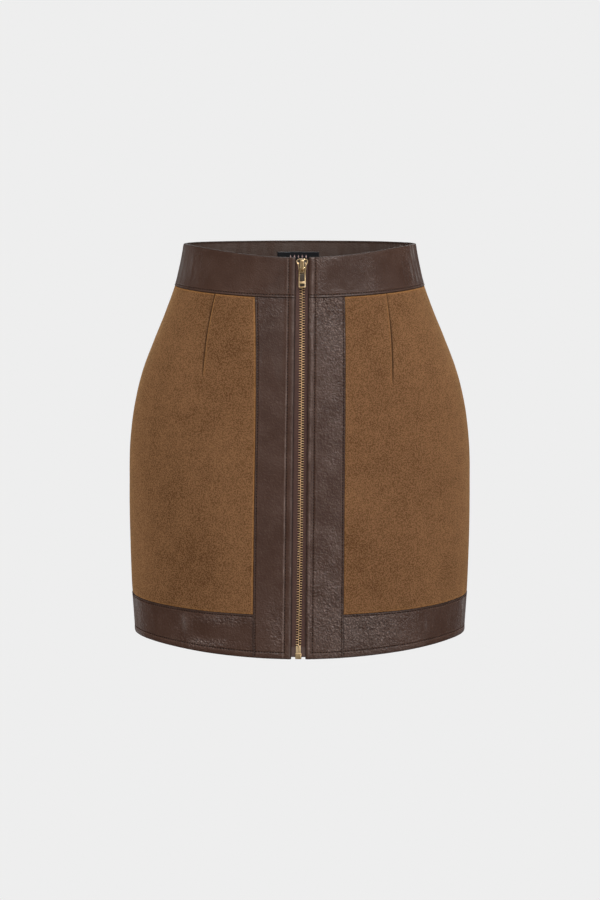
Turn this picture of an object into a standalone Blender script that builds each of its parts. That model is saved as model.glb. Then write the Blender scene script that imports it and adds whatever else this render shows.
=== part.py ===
"""A short skirt of suede-look panels framed by faux leather bands, with a zip down its whole front.

It stands open and hollow, as when worn. Metres, +Z up, front towards -Y. Left and right are as seen from
the front, so left is at -X.
The origin is the centre of the waist opening, halfway down the waistband.
Every cloth piece is a wall on one skin: flattened rings, whose size changes with the drop below the rim.
An angle goes round the skirt from the middle of the front (0) through the side at +X (90 degrees).
"""

import math

import bmesh
import bpy
import numpy as np

# The skin: half width, and depths in front of and behind the line through both sides, at each drop.
RIM_HEIGHT = 0.020
SECTIONS = np.array([
    # drop    half_width  front_depth  back_depth
    (0.000, 0.1197, 0.0880, 0.0900),
    (0.020, 0.1235, 0.0895, 0.0940),
    (0.042, 0.1286, 0.0915, 0.0990),
    (0.070, 0.1386, 0.0960, 0.1070),
    (0.100, 0.1509, 0.1005, 0.1160),
    (0.130, 0.1623, 0.1030, 0.1230),
    (0.165, 0.1711, 0.1040, 0.1270),
    (0.205, 0.1762, 0.1040, 0.1280),
    (0.250, 0.1773, 0.1035, 0.1270),
    (0.310, 0.1768, 0.1030, 0.1250),
    (0.360, 0.1751, 0.1020, 0.1230),
    (0.420, 0.1712, 0.1008, 0.1205),
])

# Lines round the skirt: the drop at the sides, and how much lower, in what power of the cosine, in the
# middle of the front and of the back.
ROUND_LINES = {
    # name      side_drop  front_dip  front_power  back_dip  back_power
    "rim": (0.0000, 0.0113, 2.7, 0.0000, 2.0),
    "waist_seam": (0.0435, 0.0083, 1.8, 0.0020, 2.0),
    "hem_seam": (0.3630, 0.0104, 1.2, 0.0060, 1.6),
    "hem": (0.4050, 0.0133, 2.0, 0.0085, 2.0),
}

# The outer seams of the two bands beside the zip, as X at each drop.
BAND_SEAMS = np.array([
    # drop   left     right
    (0.040, -0.0450, 0.0452),
    (0.090, -0.0440, 0.0459),
    (0.150, -0.0439, 0.0459),
    (0.245, -0.0454, 0.0452),
    (0.370, -0.0471, 0.0444),
    (0.430, -0.0475, 0.0440),
])

# Darts, from the waist seam down to a tip: X at the top and at the tip, how far the line bows to +X in
# between, and the tip's drop.
DARTS = {
    # name       top_x    tip_x   bow      tip_drop
    "front_left": (-0.0845, -0.0980, -0.0022, 0.131),
    "front_right": (0.0878, 0.0942, 0.0020, 0.140),
    "back_left": (-0.0620, -0.0680, -0.0010, 0.160),
    "back_right": (0.0620, 0.0680, 0.0010, 0.160),
}
DART_DEPTH = 0.0008
DART_HALF_WIDTH = 0.0030

# Walls, seams and joins.
GAP = 0.0003
SUEDE_WALL = 0.0016
BAND_WALL = 0.0020
WAISTBAND_WALL = 0.0024
SIDE_SEAM_ANGLE = math.radians(92)
COLUMN_ANGLE = math.radians(6)
ROW_HEIGHT = 0.020

# The zip. It leans a little: its middle is at ZIP_TOP_X beside the rim and moves by ZIP_LEAN per metre of
# drop, and between the slider and the bottom box the closed row bows to +X by up to ZIP_BOW.
ZIP_TOP_X = 0.00275
ZIP_LEAN = -0.010
ZIP_BOW = 0.00065
BOW_DROPS = (0.028, 0.405)
OPENING_HALF_TOP = 0.0064
OPENING_HALF_GROWTH = 0.002
TAPE_DEPTH = WAISTBAND_WALL + GAP
TAPE_WALL = 0.0010
TAPE_HALF_WIDTH = 0.0160
TAPE_DROPS = (0.0135, 0.4163)
CHAIN_HALF_WIDTH = 0.0029
CHAIN_HALF_THICK = 0.0013
CHAIN_DEPTH = TAPE_DEPTH + TAPE_WALL / 2
SLIDER_DROP = 0.0128
SLIDER_LENGTH = 0.0148
SLIDER_MIDDLE = 0.0080
CHAIN_IN_SLIDER = 0.0046
BOX_TOP_DROP = 0.4120
PIN_TOP_DROP = 0.4049

# The label sewn inside the back of the waistband.
LABEL_MIDDLE_X = -0.0015
LABEL_HALF_WIDTH = 0.0225
LABEL_DROPS = (0.0118, 0.0330)
LABEL_WALL = 0.0010

# name: base colour, roughness, metallic
FINISHES = {
    "suede": ((0.168, 0.084, 0.042), 0.95, 0.0),
    "leather": ((0.080, 0.041, 0.030), 0.50, 0.0),
    "tape": ((0.085, 0.050, 0.036), 0.85, 0.0),
    "brass": ((0.640, 0.440, 0.220), 0.28, 1.0),
    "satin": ((0.012, 0.012, 0.014), 0.45, 0.0),
}


# ---- the skin -------------------------------------------------------------------------------------------
def smooth_curve(table, at):
    """Every column of the table at these values of its first column, on a cubic through its rows."""
    x, y = table[:, 0], table[:, 1:]
    slope = np.gradient(y, x, axis=0)
    at = np.asarray(at, float)
    i = np.clip(np.searchsorted(x, at) - 1, 0, len(x) - 2)
    h = x[i + 1] - x[i]
    t = ((at - x[i]) / h)[..., None]
    h = h[..., None]
    return (
        (1 + 2 * t) * (1 - t) ** 2 * y[i]
        + t * (1 - t) ** 2 * h * slope[i]
        + t * t * (3 - 2 * t) * y[i + 1]
        + t * t * (t - 1) * h * slope[i + 1]
    )


def half_width(drop):
    return smooth_curve(SECTIONS, drop)[..., 0]


def skin(angle, drop):
    """Points of the outer surface."""
    wide, front, back = np.moveaxis(smooth_curve(SECTIONS, drop), -1, 0)
    depth = np.where(np.cos(angle) > 0, front, back)
    return np.stack([wide * np.sin(angle), -depth * np.cos(angle), RIM_HEIGHT - drop], -1)


def skin_normal(angle, drop):
    """Outward unit normals, from small steps round and down the skin."""
    step = 1e-4
    round_it = skin(angle + step, drop) - skin(angle - step, drop)
    down = skin(angle, drop + step) - skin(angle, drop - step)
    normal = np.cross(down, round_it)
    return normal / np.linalg.norm(normal, axis=-1, keepdims=True)


def round_line(name):
    """The drop of a line round the skirt, as a function of the angle."""
    side, front_dip, front_power, back_dip, back_power = ROUND_LINES[name]

    def drop(angle):
        lean = np.cos(angle)
        front = front_dip * np.clip(lean, 0, 1) ** front_power
        back = back_dip * np.clip(-lean, 0, 1) ** back_power
        return side + front + back

    return drop


def moved(line, by):
    """A line round or down the skirt, moved by a fixed amount."""
    return lambda at: line(at) + by


def upright(x_of_drop, behind=False):
    """The angle of a line that runs down the front or the back, from its X at each drop."""

    def angle(drop):
        front = np.arcsin(x_of_drop(drop) / half_width(drop))
        return math.pi - front if behind else front

    return angle


def zip_x(offset):
    """The closed zip's line at a distance to its side."""

    def x(drop):
        share = np.clip((drop - BOW_DROPS[0]) / (BOW_DROPS[1] - BOW_DROPS[0]), 0, 1)
        return ZIP_TOP_X + ZIP_LEAN * drop + ZIP_BOW * (1 - (2 * share - 1) ** 4) + offset

    return x


def opening_x(side):
    """The folded leather edge beside the zip, on the side at -X (-1) or at +X (1); it doesn't bow."""
    return lambda drop: ZIP_TOP_X + ZIP_LEAN * drop + side * (OPENING_HALF_TOP + OPENING_HALF_GROWTH * drop)


def band_seam_x(side, inset=0.0):
    column = 0 if side < 0 else 1
    return lambda drop: smooth_curve(BAND_SEAMS, drop)[..., column] - side * inset


def side_seam(angle, inset):
    """The side seam, moved along the skin by inset; it lies at a fixed angle."""
    return lambda drop: angle + inset / smooth_curve(SECTIONS, drop)[..., 1]


def centre_back(inset):
    """The seam down the middle of the back, moved along the skin by inset."""
    return lambda drop: math.pi + inset / half_width(drop)


# ---- cloth pieces ---------------------------------------------------------------------------------------
def dart_line(name):
    """X of a dart's seam at each drop, and how deep it is there: it fades out towards its tip."""
    top_x, tip_x, bow, tip_drop = DARTS[name]
    top_drop = ROUND_LINES["waist_seam"][0]

    def share(drop):
        return (drop - top_drop) / (tip_drop - top_drop)

    def x(drop):
        bend = np.sin(math.pi * np.clip(share(drop), 0, 1))
        return top_x + (tip_x - top_x) * share(drop) + bow * bend

    def depth(drop):
        return DART_DEPTH * np.sqrt(np.clip(1 - share(drop), 0, 1))

    return x, depth


def cloth_points(left, right, top, bottom, columns, rows, darts=(), behind=False):
    """Angle, drop and dart depth of a piece's points, row by row from its top edge.

    left and right give an angle at each drop, top and bottom give a drop at each angle. Points are spread
    evenly between the edges, and a dart takes one whole column, with a column close by on each side.
    """
    guides = [left] + [upright(dart_line(d)[0], behind) for d in darts] + [right]
    spans = max(2, round(columns / (len(guides) - 1)))
    share = np.linspace(0, 1, spans + 1)
    down = np.linspace(0, 1, rows + 1)[:, None]
    count = spans * (len(guides) - 1) + 1
    drop = np.full((rows + 1, count), ROUND_LINES["waist_seam"][0])
    depth = np.zeros_like(drop)
    for _ in range(8):
        angle = np.empty_like(drop)
        for k in range(len(guides) - 1):
            here = slice(k * spans, (k + 1) * spans + 1)
            start, end = guides[k](drop[:, here]), guides[k + 1](drop[:, here])
            angle[:, here] = start + (end - start) * share
        for k in range(1, len(guides) - 1):
            at = k * spans
            aside = DART_HALF_WIDTH / half_width(drop[:, at])
            angle[:, at - 1] = angle[:, at] - aside
            angle[:, at + 1] = angle[:, at] + aside
        drop = top(angle) + (bottom(angle) - top(angle)) * down
    for k, name in enumerate(darts, 1):
        depth[:, k * spans] = dart_line(name)[1](drop[:, k * spans])
    return angle, drop, depth


def wall(name, points, outer_depth, thickness, finish):
    """A closed wall: the points moved in from the skin by outer_depth, and again by the thickness more."""
    angle, drop, dart = points
    place, normal = skin(angle, drop), skin_normal(angle, drop)
    outer = place - normal * (outer_depth + dart)[..., None]
    inner = outer - normal * thickness
    rows, columns = angle.shape
    mesh = bmesh.new()
    outside = [[mesh.verts.new(p) for p in row] for row in outer]
    inside = [[mesh.verts.new(p) for p in row] for row in inner]
    for i in range(rows - 1):
        for j in range(columns - 1):
            for sheet, turn in ((outside, 1), (inside, -1)):
                corners = [sheet[i][j], sheet[i + 1][j], sheet[i + 1][j + 1], sheet[i][j + 1]]
                mesh.faces.new(corners[::turn])
    for i in range(rows - 1):
        mesh.faces.new([inside[i][0], inside[i + 1][0], outside[i + 1][0], outside[i][0]])
        mesh.faces.new([outside[i][-1], outside[i + 1][-1], inside[i + 1][-1], inside[i][-1]])
    for j in range(columns - 1):
        mesh.faces.new([inside[0][j], outside[0][j], outside[0][j + 1], inside[0][j + 1]])
        mesh.faces.new([outside[-1][j], inside[-1][j], inside[-1][j + 1], outside[-1][j + 1]])
    return add_object(name, mesh, finish)


def piece(name, edges, wall_thickness, finish, columns=None, darts=(), behind=False):
    """One cut piece between its four edges: left, right, top, bottom."""
    left, right, top, bottom = edges
    middle_drop = 0.2
    width = float(right(middle_drop) - left(middle_drop))
    height = float(bottom(left(middle_drop)) - top(left(middle_drop)))
    columns = columns or max(2, round(width / COLUMN_ANGLE))
    rows = max(2, round(height / ROW_HEIGHT))
    points = cloth_points(left, right, top, bottom, columns, rows, darts, behind)
    return wall(name, points, 0.0, wall_thickness, finish)


def between(top_line, bottom_line):
    """The top and bottom edges of a piece that lies between two lines round the skirt."""
    return moved(round_line(top_line), GAP / 2), moved(round_line(bottom_line), -GAP / 2)


def make_cloth():
    front_at = {-1: -SIDE_SEAM_ANGLE, 1: SIDE_SEAM_ANGLE}
    for side, word in ((-1, "left"), (1, "right")):
        side_edge = side_seam(front_at[side], -side * GAP / 2)
        lip = upright(opening_x(side))
        band_outer = upright(band_seam_x(side, GAP / 2))
        panel_inner = upright(band_seam_x(side, -GAP / 2))

        def ordered(inner, outer):
            """Left edge first: at -X the outer edge is the left one."""
            return (outer, inner) if side < 0 else (inner, outer)

        edges = (*ordered(lip, side_edge), *waistband_edges())
        piece(f"waistband_front_{word}", edges, WAISTBAND_WALL, "leather")
        piece(
            f"front_panel_{word}",
            (*ordered(panel_inner, side_edge), *between("waist_seam", "hem_seam")),
            SUEDE_WALL,
            "suede",
            darts=(f"front_{word}",),
        )
        piece(
            f"front_band_{word}",
            (*ordered(lip, band_outer), moved(round_line("waist_seam"), GAP / 2), round_line("hem")),
            BAND_WALL,
            "leather",
            columns=4,
        )
        hem_edges = (moved(round_line("hem_seam"), GAP / 2), round_line("hem"))
        piece(f"hem_band_{word}", (*ordered(panel_inner, side_edge), *hem_edges), BAND_WALL, "leather")

    # Behind, the angle grows from the side seam at +X, through the middle of the back, to the one at -X.
    behind = (
        side_seam(SIDE_SEAM_ANGLE, GAP / 2),
        side_seam(2 * math.pi - SIDE_SEAM_ANGLE, -GAP / 2),
    )
    middle_seam = (centre_back(-GAP / 2), centre_back(GAP / 2))
    piece("waistband_back", (*behind, *waistband_edges()), WAISTBAND_WALL, "leather")
    for word, sides in (("right", (behind[0], middle_seam[0])), ("left", (middle_seam[1], behind[1]))):
        piece(
            f"back_panel_{word}",
            (*sides, *between("waist_seam", "hem_seam")),
            SUEDE_WALL,
            "suede",
            darts=(f"back_{word}",),
            behind=True,
        )
    piece(
        "hem_band_back",
        (*behind, moved(round_line("hem_seam"), GAP / 2), round_line("hem")),
        BAND_WALL,
        "leather",
    )


def waistband_edges():
    return round_line("rim"), moved(round_line("waist_seam"), -GAP / 2)


def level(drop):
    """A line at one drop all round."""
    return lambda angle: np.full_like(np.asarray(angle, float), drop)


def make_label():
    edges = (
        upright(lambda drop: np.full_like(drop, LABEL_MIDDLE_X + LABEL_HALF_WIDTH), behind=True),
        upright(lambda drop: np.full_like(drop, LABEL_MIDDLE_X - LABEL_HALF_WIDTH), behind=True),
        level(LABEL_DROPS[0]),
        level(LABEL_DROPS[1]),
    )
    points = cloth_points(*edges, columns=6, rows=2)
    wall("back_label", points, WAISTBAND_WALL + GAP, LABEL_WALL, "satin")


# ---- the zip --------------------------------------------------------------------------------------------
def make_tapes_and_chain():
    rows = round((TAPE_DROPS[1] - TAPE_DROPS[0]) / ROW_HEIGHT)
    for side, word in ((-1, "left"), (1, "right")):
        offsets = sorted((side * TAPE_HALF_WIDTH, side * (CHAIN_HALF_WIDTH + GAP)))
        edges = (*(upright(zip_x(o)) for o in offsets), *(level(d) for d in TAPE_DROPS))
        points = cloth_points(*edges, columns=2, rows=rows)
        wall(f"zip_tape_{word}", points, TAPE_DEPTH, TAPE_WALL, "tape")
    chain_drops = (SLIDER_DROP + CHAIN_IN_SLIDER, PIN_TOP_DROP - GAP)
    left, right = (upright(zip_x(offset)) for offset in (-CHAIN_HALF_WIDTH, CHAIN_HALF_WIDTH))
    edges = (left, right, *(level(drop) for drop in chain_drops))
    points = cloth_points(*edges, columns=2, rows=rows)
    wall("zip_chain", points, CHAIN_DEPTH - CHAIN_HALF_THICK, 2 * CHAIN_HALF_THICK, "brass")


def zip_frame(name, drop, middle):
    """An empty on the zip's middle line: its -Y is the way out of the skin and its -Z the way down it.

    drop is where its origin lies, middle the drop where it takes its slope and its X.
    """
    on_line = upright(zip_x(0))
    at = skin(on_line(drop), drop)
    out = skin_normal(on_line(middle), middle)
    empty = bpy.data.objects.new(name, None)
    bpy.context.collection.objects.link(empty)
    empty.location = (float(zip_x(0)(middle)), at[1], at[2])
    empty.rotation_euler = (-math.atan2(out[2], -out[1]), 0, 0)
    return empty


def prism(name, outline, along, low, high, finish, frame):
    """An outline of (X, Z) points extruded along Y, or of (Y, Z) points extruded along X."""
    mesh = bmesh.new()
    place = (lambda a, z: (a, low, z)) if along == "y" else (lambda a, z: (low, a, z))
    face = mesh.faces.new([mesh.verts.new(place(a, z)) for a, z in outline])
    made = bmesh.ops.extrude_face_region(mesh, geom=[face])
    shift = (0, high - low, 0) if along == "y" else (high - low, 0, 0)
    far = [v for v in made["geom"] if isinstance(v, bmesh.types.BMVert)]
    bmesh.ops.translate(mesh, vec=shift, verts=far)
    bmesh.ops.recalc_face_normals(mesh, faces=mesh.faces)
    item = add_object(name, mesh, finish, smooth=False)
    item.parent = frame
    return item


def box_outline(x_low, x_high, z_low, z_high):
    return [(x_low, z_low), (x_high, z_low), (x_high, z_high), (x_low, z_high)]


def combine(item, other, how):
    """Joins or cuts with a hidden helper."""
    other.hide_render = True
    other.display_type = "WIRE"
    other.name = "helper_" + other.name
    step = item.modifiers.new(how.title(), "BOOLEAN")
    step.operation = how
    step.object = other
    return item


def soften(item, width):
    bevel = item.modifiers.new("Soft edges", "BEVEL")
    bevel.width = width
    bevel.segments = 1
    bevel.limit_method = "ANGLE"
    return item


# The slider's outline as (half width, Z), from its top edge down; its middle thickness is the chain's.
SLIDER_OUTLINE = (
    # half_width  z
    (0.0046, 0.0),
    (0.0057, -0.0019),
    (0.0057, -0.0036),
    (0.0041, -0.0074),
    (0.0040, -0.0106),
    (0.0016, -SLIDER_LENGTH),
)
SLIDER_FRONT, SLIDER_BACK = 0.0003, 0.0061
CHANNEL_FRONT, CHANNEL_BACK = 0.0015, 0.0049
SLOT_FRONT, SLOT_BACK = 0.0024, 0.0040
SLOT_INNER, SLOT_OUTER = 0.0029, 0.0080
SLOT_TOP, SLOT_BOTTOM = 0.0010, -0.0170
CHANNEL_OUTLINE = (
    # half_width  z: the tooth channel, which forks round the wedge at the top
    (0.0031, -0.0165),
    (0.0031, -0.0065),
    (0.0053, 0.0010),
    (0.0013, 0.0010),
    (0.0006, -0.0040),
)
BRIDGE_HALF_WIDTH = 0.0020
BRIDGE_OUTLINE = (
    # y        z: from the plate out, down and back to the plate
    (0.0009, -0.0002),
    (-0.0016, -0.0002),
    (-0.0029, -0.0014),
    (-0.0032, -0.0034),
    (-0.0032, -0.0092),
    (-0.0027, -0.0110),
    (-0.0014, -0.0120),
    (0.0009, -0.0120),
)
EYE_FRONT = -0.0019
EYE_TOP, EYE_BOTTOM = -0.0016, -0.0109
EYE_HALF_LENGTH = 0.0030

# The pull: a flat frame on a bar that turns in the bridge's eye. Below its eye two windows are sunk into
# its front, and a thin web closes them at its back.
PULL_AXIS_Y, PULL_AXIS_Z = -0.0008, -0.0097
PULL_HALF_THICK = 0.00065
PULL_HALF_WIDTH = 0.00365
PULL_WINDOW_HALF = 0.0023
PULL_BOTTOM = -0.0294
PULL_CORNER = 0.0010
PULL_CUT_REACH = 0.0020
PULL_WEB_FRONT = 0.0003
PULL_WINDOWS = (
    # half_width       top      bottom   back of the cut
    (PULL_WINDOW_HALF, -0.01035, -0.0152, PULL_CUT_REACH),
    (PULL_WINDOW_HALF, -0.0150, -0.0230, PULL_WEB_FRONT),
    (0.0020, -0.0252, -0.0280, PULL_WEB_FRONT),
)

# The bottom box, and the two pins above it.
BOX_HALF_WIDTH = 0.0031
BOX_LENGTH = 0.0064
BOX_FRONT, BOX_BACK = 0.0016, 0.0048
BOX_BEVEL = 0.0004
PIN_INNER, PIN_OUTER = 0.0003, 0.0025
PIN_FRONT, PIN_BACK = 0.0021, 0.0043
PIN_IN_BOX = 0.0010


def both_sides(half_outline):
    """A closed outline from its half at +X, mirrored."""
    return list(half_outline) + [(-x, z) for x, z in reversed(half_outline)]


def make_slider_and_pull():
    frame = zip_frame("zip_top", SLIDER_DROP, SLIDER_DROP + SLIDER_MIDDLE)
    slider = prism("zip_slider", both_sides(SLIDER_OUTLINE), "y", SLIDER_FRONT, SLIDER_BACK, "brass", frame)
    channel = prism("channel", both_sides(CHANNEL_OUTLINE), "y", CHANNEL_FRONT, CHANNEL_BACK, "brass", frame)
    combine(slider, channel, "DIFFERENCE")
    for side, word in ((-1, "left"), (1, "right")):
        x_low, x_high = sorted((side * SLOT_INNER, side * SLOT_OUTER))
        outline = box_outline(x_low, x_high, SLOT_BOTTOM, SLOT_TOP)
        slot = prism(f"slot_{word}", outline, "y", SLOT_FRONT, SLOT_BACK, "brass", frame)
        combine(slider, slot, "DIFFERENCE")
    bridge = prism("bridge", BRIDGE_OUTLINE, "x", -BRIDGE_HALF_WIDTH, BRIDGE_HALF_WIDTH, "brass", frame)
    combine(slider, bridge, "UNION")
    eye_outline = box_outline(EYE_FRONT, SLIDER_FRONT, EYE_BOTTOM, EYE_TOP)
    eye = prism("eye", eye_outline, "x", -EYE_HALF_LENGTH, EYE_HALF_LENGTH, "brass", frame)
    combine(slider, eye, "DIFFERENCE")

    pivot = bpy.data.objects.new("pull_pivot", None)
    bpy.context.collection.objects.link(pivot)
    pivot.parent = frame
    pivot.location = (0, PULL_AXIS_Y, PULL_AXIS_Z)
    top, bottom = PULL_HALF_THICK, PULL_BOTTOM - PULL_AXIS_Z
    half_outline = [
        (PULL_HALF_WIDTH, top),
        (PULL_HALF_WIDTH, bottom + PULL_CORNER),
        (PULL_HALF_WIDTH - PULL_CORNER, bottom),
    ]
    pull = prism("zip_pull", both_sides(half_outline), "y", -PULL_HALF_THICK, PULL_HALF_THICK, "brass", pivot)
    for k, (half, high, low, back) in enumerate(PULL_WINDOWS):
        outline = box_outline(-half, half, low - PULL_AXIS_Z, high - PULL_AXIS_Z)
        window = prism(f"window_{k}", outline, "y", -PULL_CUT_REACH, back, "brass", pivot)
        combine(pull, window, "DIFFERENCE")


def make_bottom_box():
    frame = zip_frame("zip_end", BOX_TOP_DROP, BOX_TOP_DROP)
    outline = box_outline(-BOX_HALF_WIDTH, BOX_HALF_WIDTH, -BOX_LENGTH, 0.0)
    box = prism("zip_bottom_box", outline, "y", BOX_FRONT, BOX_BACK, "brass", frame)
    soften(box, BOX_BEVEL)
    for side, word in ((-1, "left"), (1, "right")):
        x_low, x_high = sorted((side * PIN_INNER, side * PIN_OUTER))
        outline = box_outline(x_low, x_high, -PIN_IN_BOX, BOX_TOP_DROP - PIN_TOP_DROP)
        pin = prism(f"pin_{word}", outline, "y", PIN_FRONT, PIN_BACK, "brass", frame)
        combine(box, pin, "UNION")


# ---- objects and materials ------------------------------------------------------------------------------
def finish_material(name):
    made = bpy.data.materials.get(name)
    if made:
        return made
    colour, roughness, metallic = FINISHES[name]
    made = bpy.data.materials.new(name)
    made.use_nodes = True
    shader = made.node_tree.nodes["Principled BSDF"]
    shader.inputs["Base Color"].default_value = (*colour, 1)
    shader.inputs["Roughness"].default_value = roughness
    shader.inputs["Metallic"].default_value = metallic
    return made


def add_object(name, mesh, finish, smooth=True):
    data = bpy.data.meshes.new(name)
    mesh.to_mesh(data)
    mesh.free()
    if smooth:
        data.shade_smooth()
        data.set_sharp_from_angle(angle=math.radians(40))
    data.materials.append(finish_material(finish))
    item = bpy.data.objects.new(name, data)
    bpy.context.collection.objects.link(item)
    return item


def main():
    for item in list(bpy.data.objects):
        bpy.data.objects.remove(item)
    make_cloth()
    make_label()
    make_tapes_and_chain()
    make_slider_and_pull()
    make_bottom_box()


main()
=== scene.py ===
"""Looks of a short front-zip skirt: suede-look panels framed by faux leather bands, filled out and hollow.

Every cloth piece is a wall on one skin, whose rings change with the drop below the rim. Lengths are in
metres. An angle goes round the skirt from the middle of the front through the side at +X; left is at -X.
"""

import math

import bpy
import numpy as np
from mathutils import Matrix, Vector


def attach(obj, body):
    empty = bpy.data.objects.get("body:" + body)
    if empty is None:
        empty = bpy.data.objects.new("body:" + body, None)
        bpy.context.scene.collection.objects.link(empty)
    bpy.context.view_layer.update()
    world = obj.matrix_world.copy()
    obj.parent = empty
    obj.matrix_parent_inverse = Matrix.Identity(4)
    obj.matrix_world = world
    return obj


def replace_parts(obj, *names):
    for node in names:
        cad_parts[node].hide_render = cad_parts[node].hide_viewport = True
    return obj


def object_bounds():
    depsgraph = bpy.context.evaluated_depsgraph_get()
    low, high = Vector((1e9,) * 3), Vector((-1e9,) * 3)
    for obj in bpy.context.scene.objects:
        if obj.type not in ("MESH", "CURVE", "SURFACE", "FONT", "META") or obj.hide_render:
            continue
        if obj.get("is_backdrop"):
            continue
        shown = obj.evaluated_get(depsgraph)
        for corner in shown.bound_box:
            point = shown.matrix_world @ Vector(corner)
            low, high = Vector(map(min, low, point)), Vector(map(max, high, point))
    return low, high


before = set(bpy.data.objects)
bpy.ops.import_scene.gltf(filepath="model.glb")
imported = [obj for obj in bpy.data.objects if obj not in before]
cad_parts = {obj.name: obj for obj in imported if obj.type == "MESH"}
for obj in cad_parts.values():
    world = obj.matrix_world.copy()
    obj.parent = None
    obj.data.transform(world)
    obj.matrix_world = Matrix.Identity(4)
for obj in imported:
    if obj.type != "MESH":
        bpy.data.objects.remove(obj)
cad_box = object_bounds()

MM = 0.001

# ---- the skirt's form, as its solids have it ------------------------------------------------------------
RIM_HEIGHT = 0.020
SECTIONS = np.array([
    # drop    half_width  front_depth  back_depth
    (0.000, 0.1197, 0.0880, 0.0900),
    (0.020, 0.1235, 0.0895, 0.0940),
    (0.042, 0.1286, 0.0915, 0.0990),
    (0.070, 0.1386, 0.0960, 0.1070),
    (0.100, 0.1509, 0.1005, 0.1160),
    (0.130, 0.1623, 0.1030, 0.1230),
    (0.165, 0.1711, 0.1040, 0.1270),
    (0.205, 0.1762, 0.1040, 0.1280),
    (0.250, 0.1773, 0.1035, 0.1270),
    (0.310, 0.1768, 0.1030, 0.1250),
    (0.360, 0.1751, 0.1020, 0.1230),
    (0.420, 0.1712, 0.1008, 0.1205),
])
ROUND_LINES = {
    # name      side_drop  front_dip  front_power  back_dip  back_power
    "rim": (0.0000, 0.0113, 2.7, 0.0000, 2.0),
    "waist_seam": (0.0435, 0.0083, 1.8, 0.0020, 2.0),
    "hem_seam": (0.3630, 0.0104, 1.2, 0.0060, 1.6),
    "hem": (0.4050, 0.0133, 2.0, 0.0085, 2.0),
}
BAND_SEAMS = np.array([
    # drop   left     right
    (0.040, -0.0450, 0.0452),
    (0.090, -0.0440, 0.0459),
    (0.150, -0.0439, 0.0459),
    (0.245, -0.0454, 0.0452),
    (0.370, -0.0471, 0.0444),
    (0.430, -0.0475, 0.0440),
])
DARTS = {
    # name: (x at the top, x at the tip, bow between them, drop of the tip,
    #        depth of the fold, how dark the painted shade along it is at the top and at the tip)
    "front_left": (-0.0845, -0.0980, -2.2 * MM, 0.131, 1.10 * MM, 1.5, 2.4),
    "front_right": (0.0878, 0.0942, 2.0 * MM, 0.140, 0.85 * MM, 0.3, 2.4),
    "back_left": (-0.0620, -0.0680, -1.0 * MM, 0.160, 0.90 * MM, 1.2, 2.0),
    "back_right": (0.0620, 0.0680, 1.0 * MM, 0.160, 0.90 * MM, 1.2, 2.0),
}
GAP = 0.3 * MM
OVERLAP = 0.15 * MM  # how far each of two pieces reaches past the line of the seam between them
SUEDE_WALL = 1.6 * MM
BAND_WALL = 2.0 * MM
WAISTBAND_WALL = 2.4 * MM
SIDE_SEAM_ANGLE = math.radians(92)

ZIP_TOP_X, ZIP_LEAN = 0.00275, -0.010
ZIP_BOW, BOW_DROPS = 0.65 * MM, (0.028, 0.405)
OPENING_HALF_TOP, OPENING_HALF_GROWTH = 6.4 * MM, 0.002
TAPE_DEPTH = WAISTBAND_WALL + GAP
TAPE_WALL = 1.0 * MM
TAPE_HALF_WIDTH = 16.0 * MM
TAPE_INNER = 0.03 * MM
TAPE_DROPS = (0.0135, 0.4163)
FILM_TOP_DROP = 0.4050
CHAIN_DEPTH = TAPE_DEPTH + TAPE_WALL / 2
SLIDER_DROP, SLIDER_MIDDLE = 0.0128, 0.0080
BOX_TOP_DROP, PIN_TOP_DROP = 0.4120, 0.4049
LABEL_MIDDLE_X, LABEL_HALF_WIDTH = -1.5 * MM, 22.5 * MM
LABEL_DROPS = (0.0118, 0.0330)
LOZENGE_PITCH, LOZENGE_DROP = 4.2, 0.0166  # the pitch in millimetres, the drop below the rim in metres

# Sewing: the distance between stitches, and each row's distance from its edge.
STITCH_PITCH = 2.9 * MM
LIP_STITCH = 7.0 * MM
BAND_STITCH = 2.0 * MM
WAIST_STITCH = 2.7 * MM
HEM_TOP_STITCH = 2.2 * MM
HEM_STITCH = 6.7 * MM

# Soft ridges and troughs that the whole skirt shares, placed one by one.
DRAPE = np.array([
    # angle  drop   half_angle  half_drop  drift   height
    (-62, 0.120, 7.0, 0.090, -20.0, -0.0012),
    (-50, 0.330, 9.0, 0.100, 10.0, -0.0010),
    (-30, 0.200, 8.0, 0.160, 5.0, 0.0008),
    (-24, 0.360, 5.0, 0.050, -30.0, -0.0007),
    (28, 0.290, 6.0, 0.120, -12.0, -0.0009),
    (48, 0.150, 8.0, 0.110, 14.0, -0.0011),
    (40, 0.350, 7.0, 0.080, -8.0, 0.0009),
    (66, 0.260, 8.0, 0.150, 6.0, -0.0010),
    (120, 0.200, 9.0, 0.140, -10.0, -0.0014),
    (146, 0.330, 8.0, 0.100, 14.0, 0.0010),
    (168, 0.110, 7.0, 0.060, 24.0, -0.0015),
    (196, 0.120, 7.0, 0.060, -20.0, -0.0013),
    (214, 0.310, 9.0, 0.120, -12.0, -0.0011),
    (240, 0.190, 9.0, 0.150, 9.0, 0.0010),
    (256, 0.340, 7.0, 0.090, -9.0, -0.0010),
])
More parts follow.
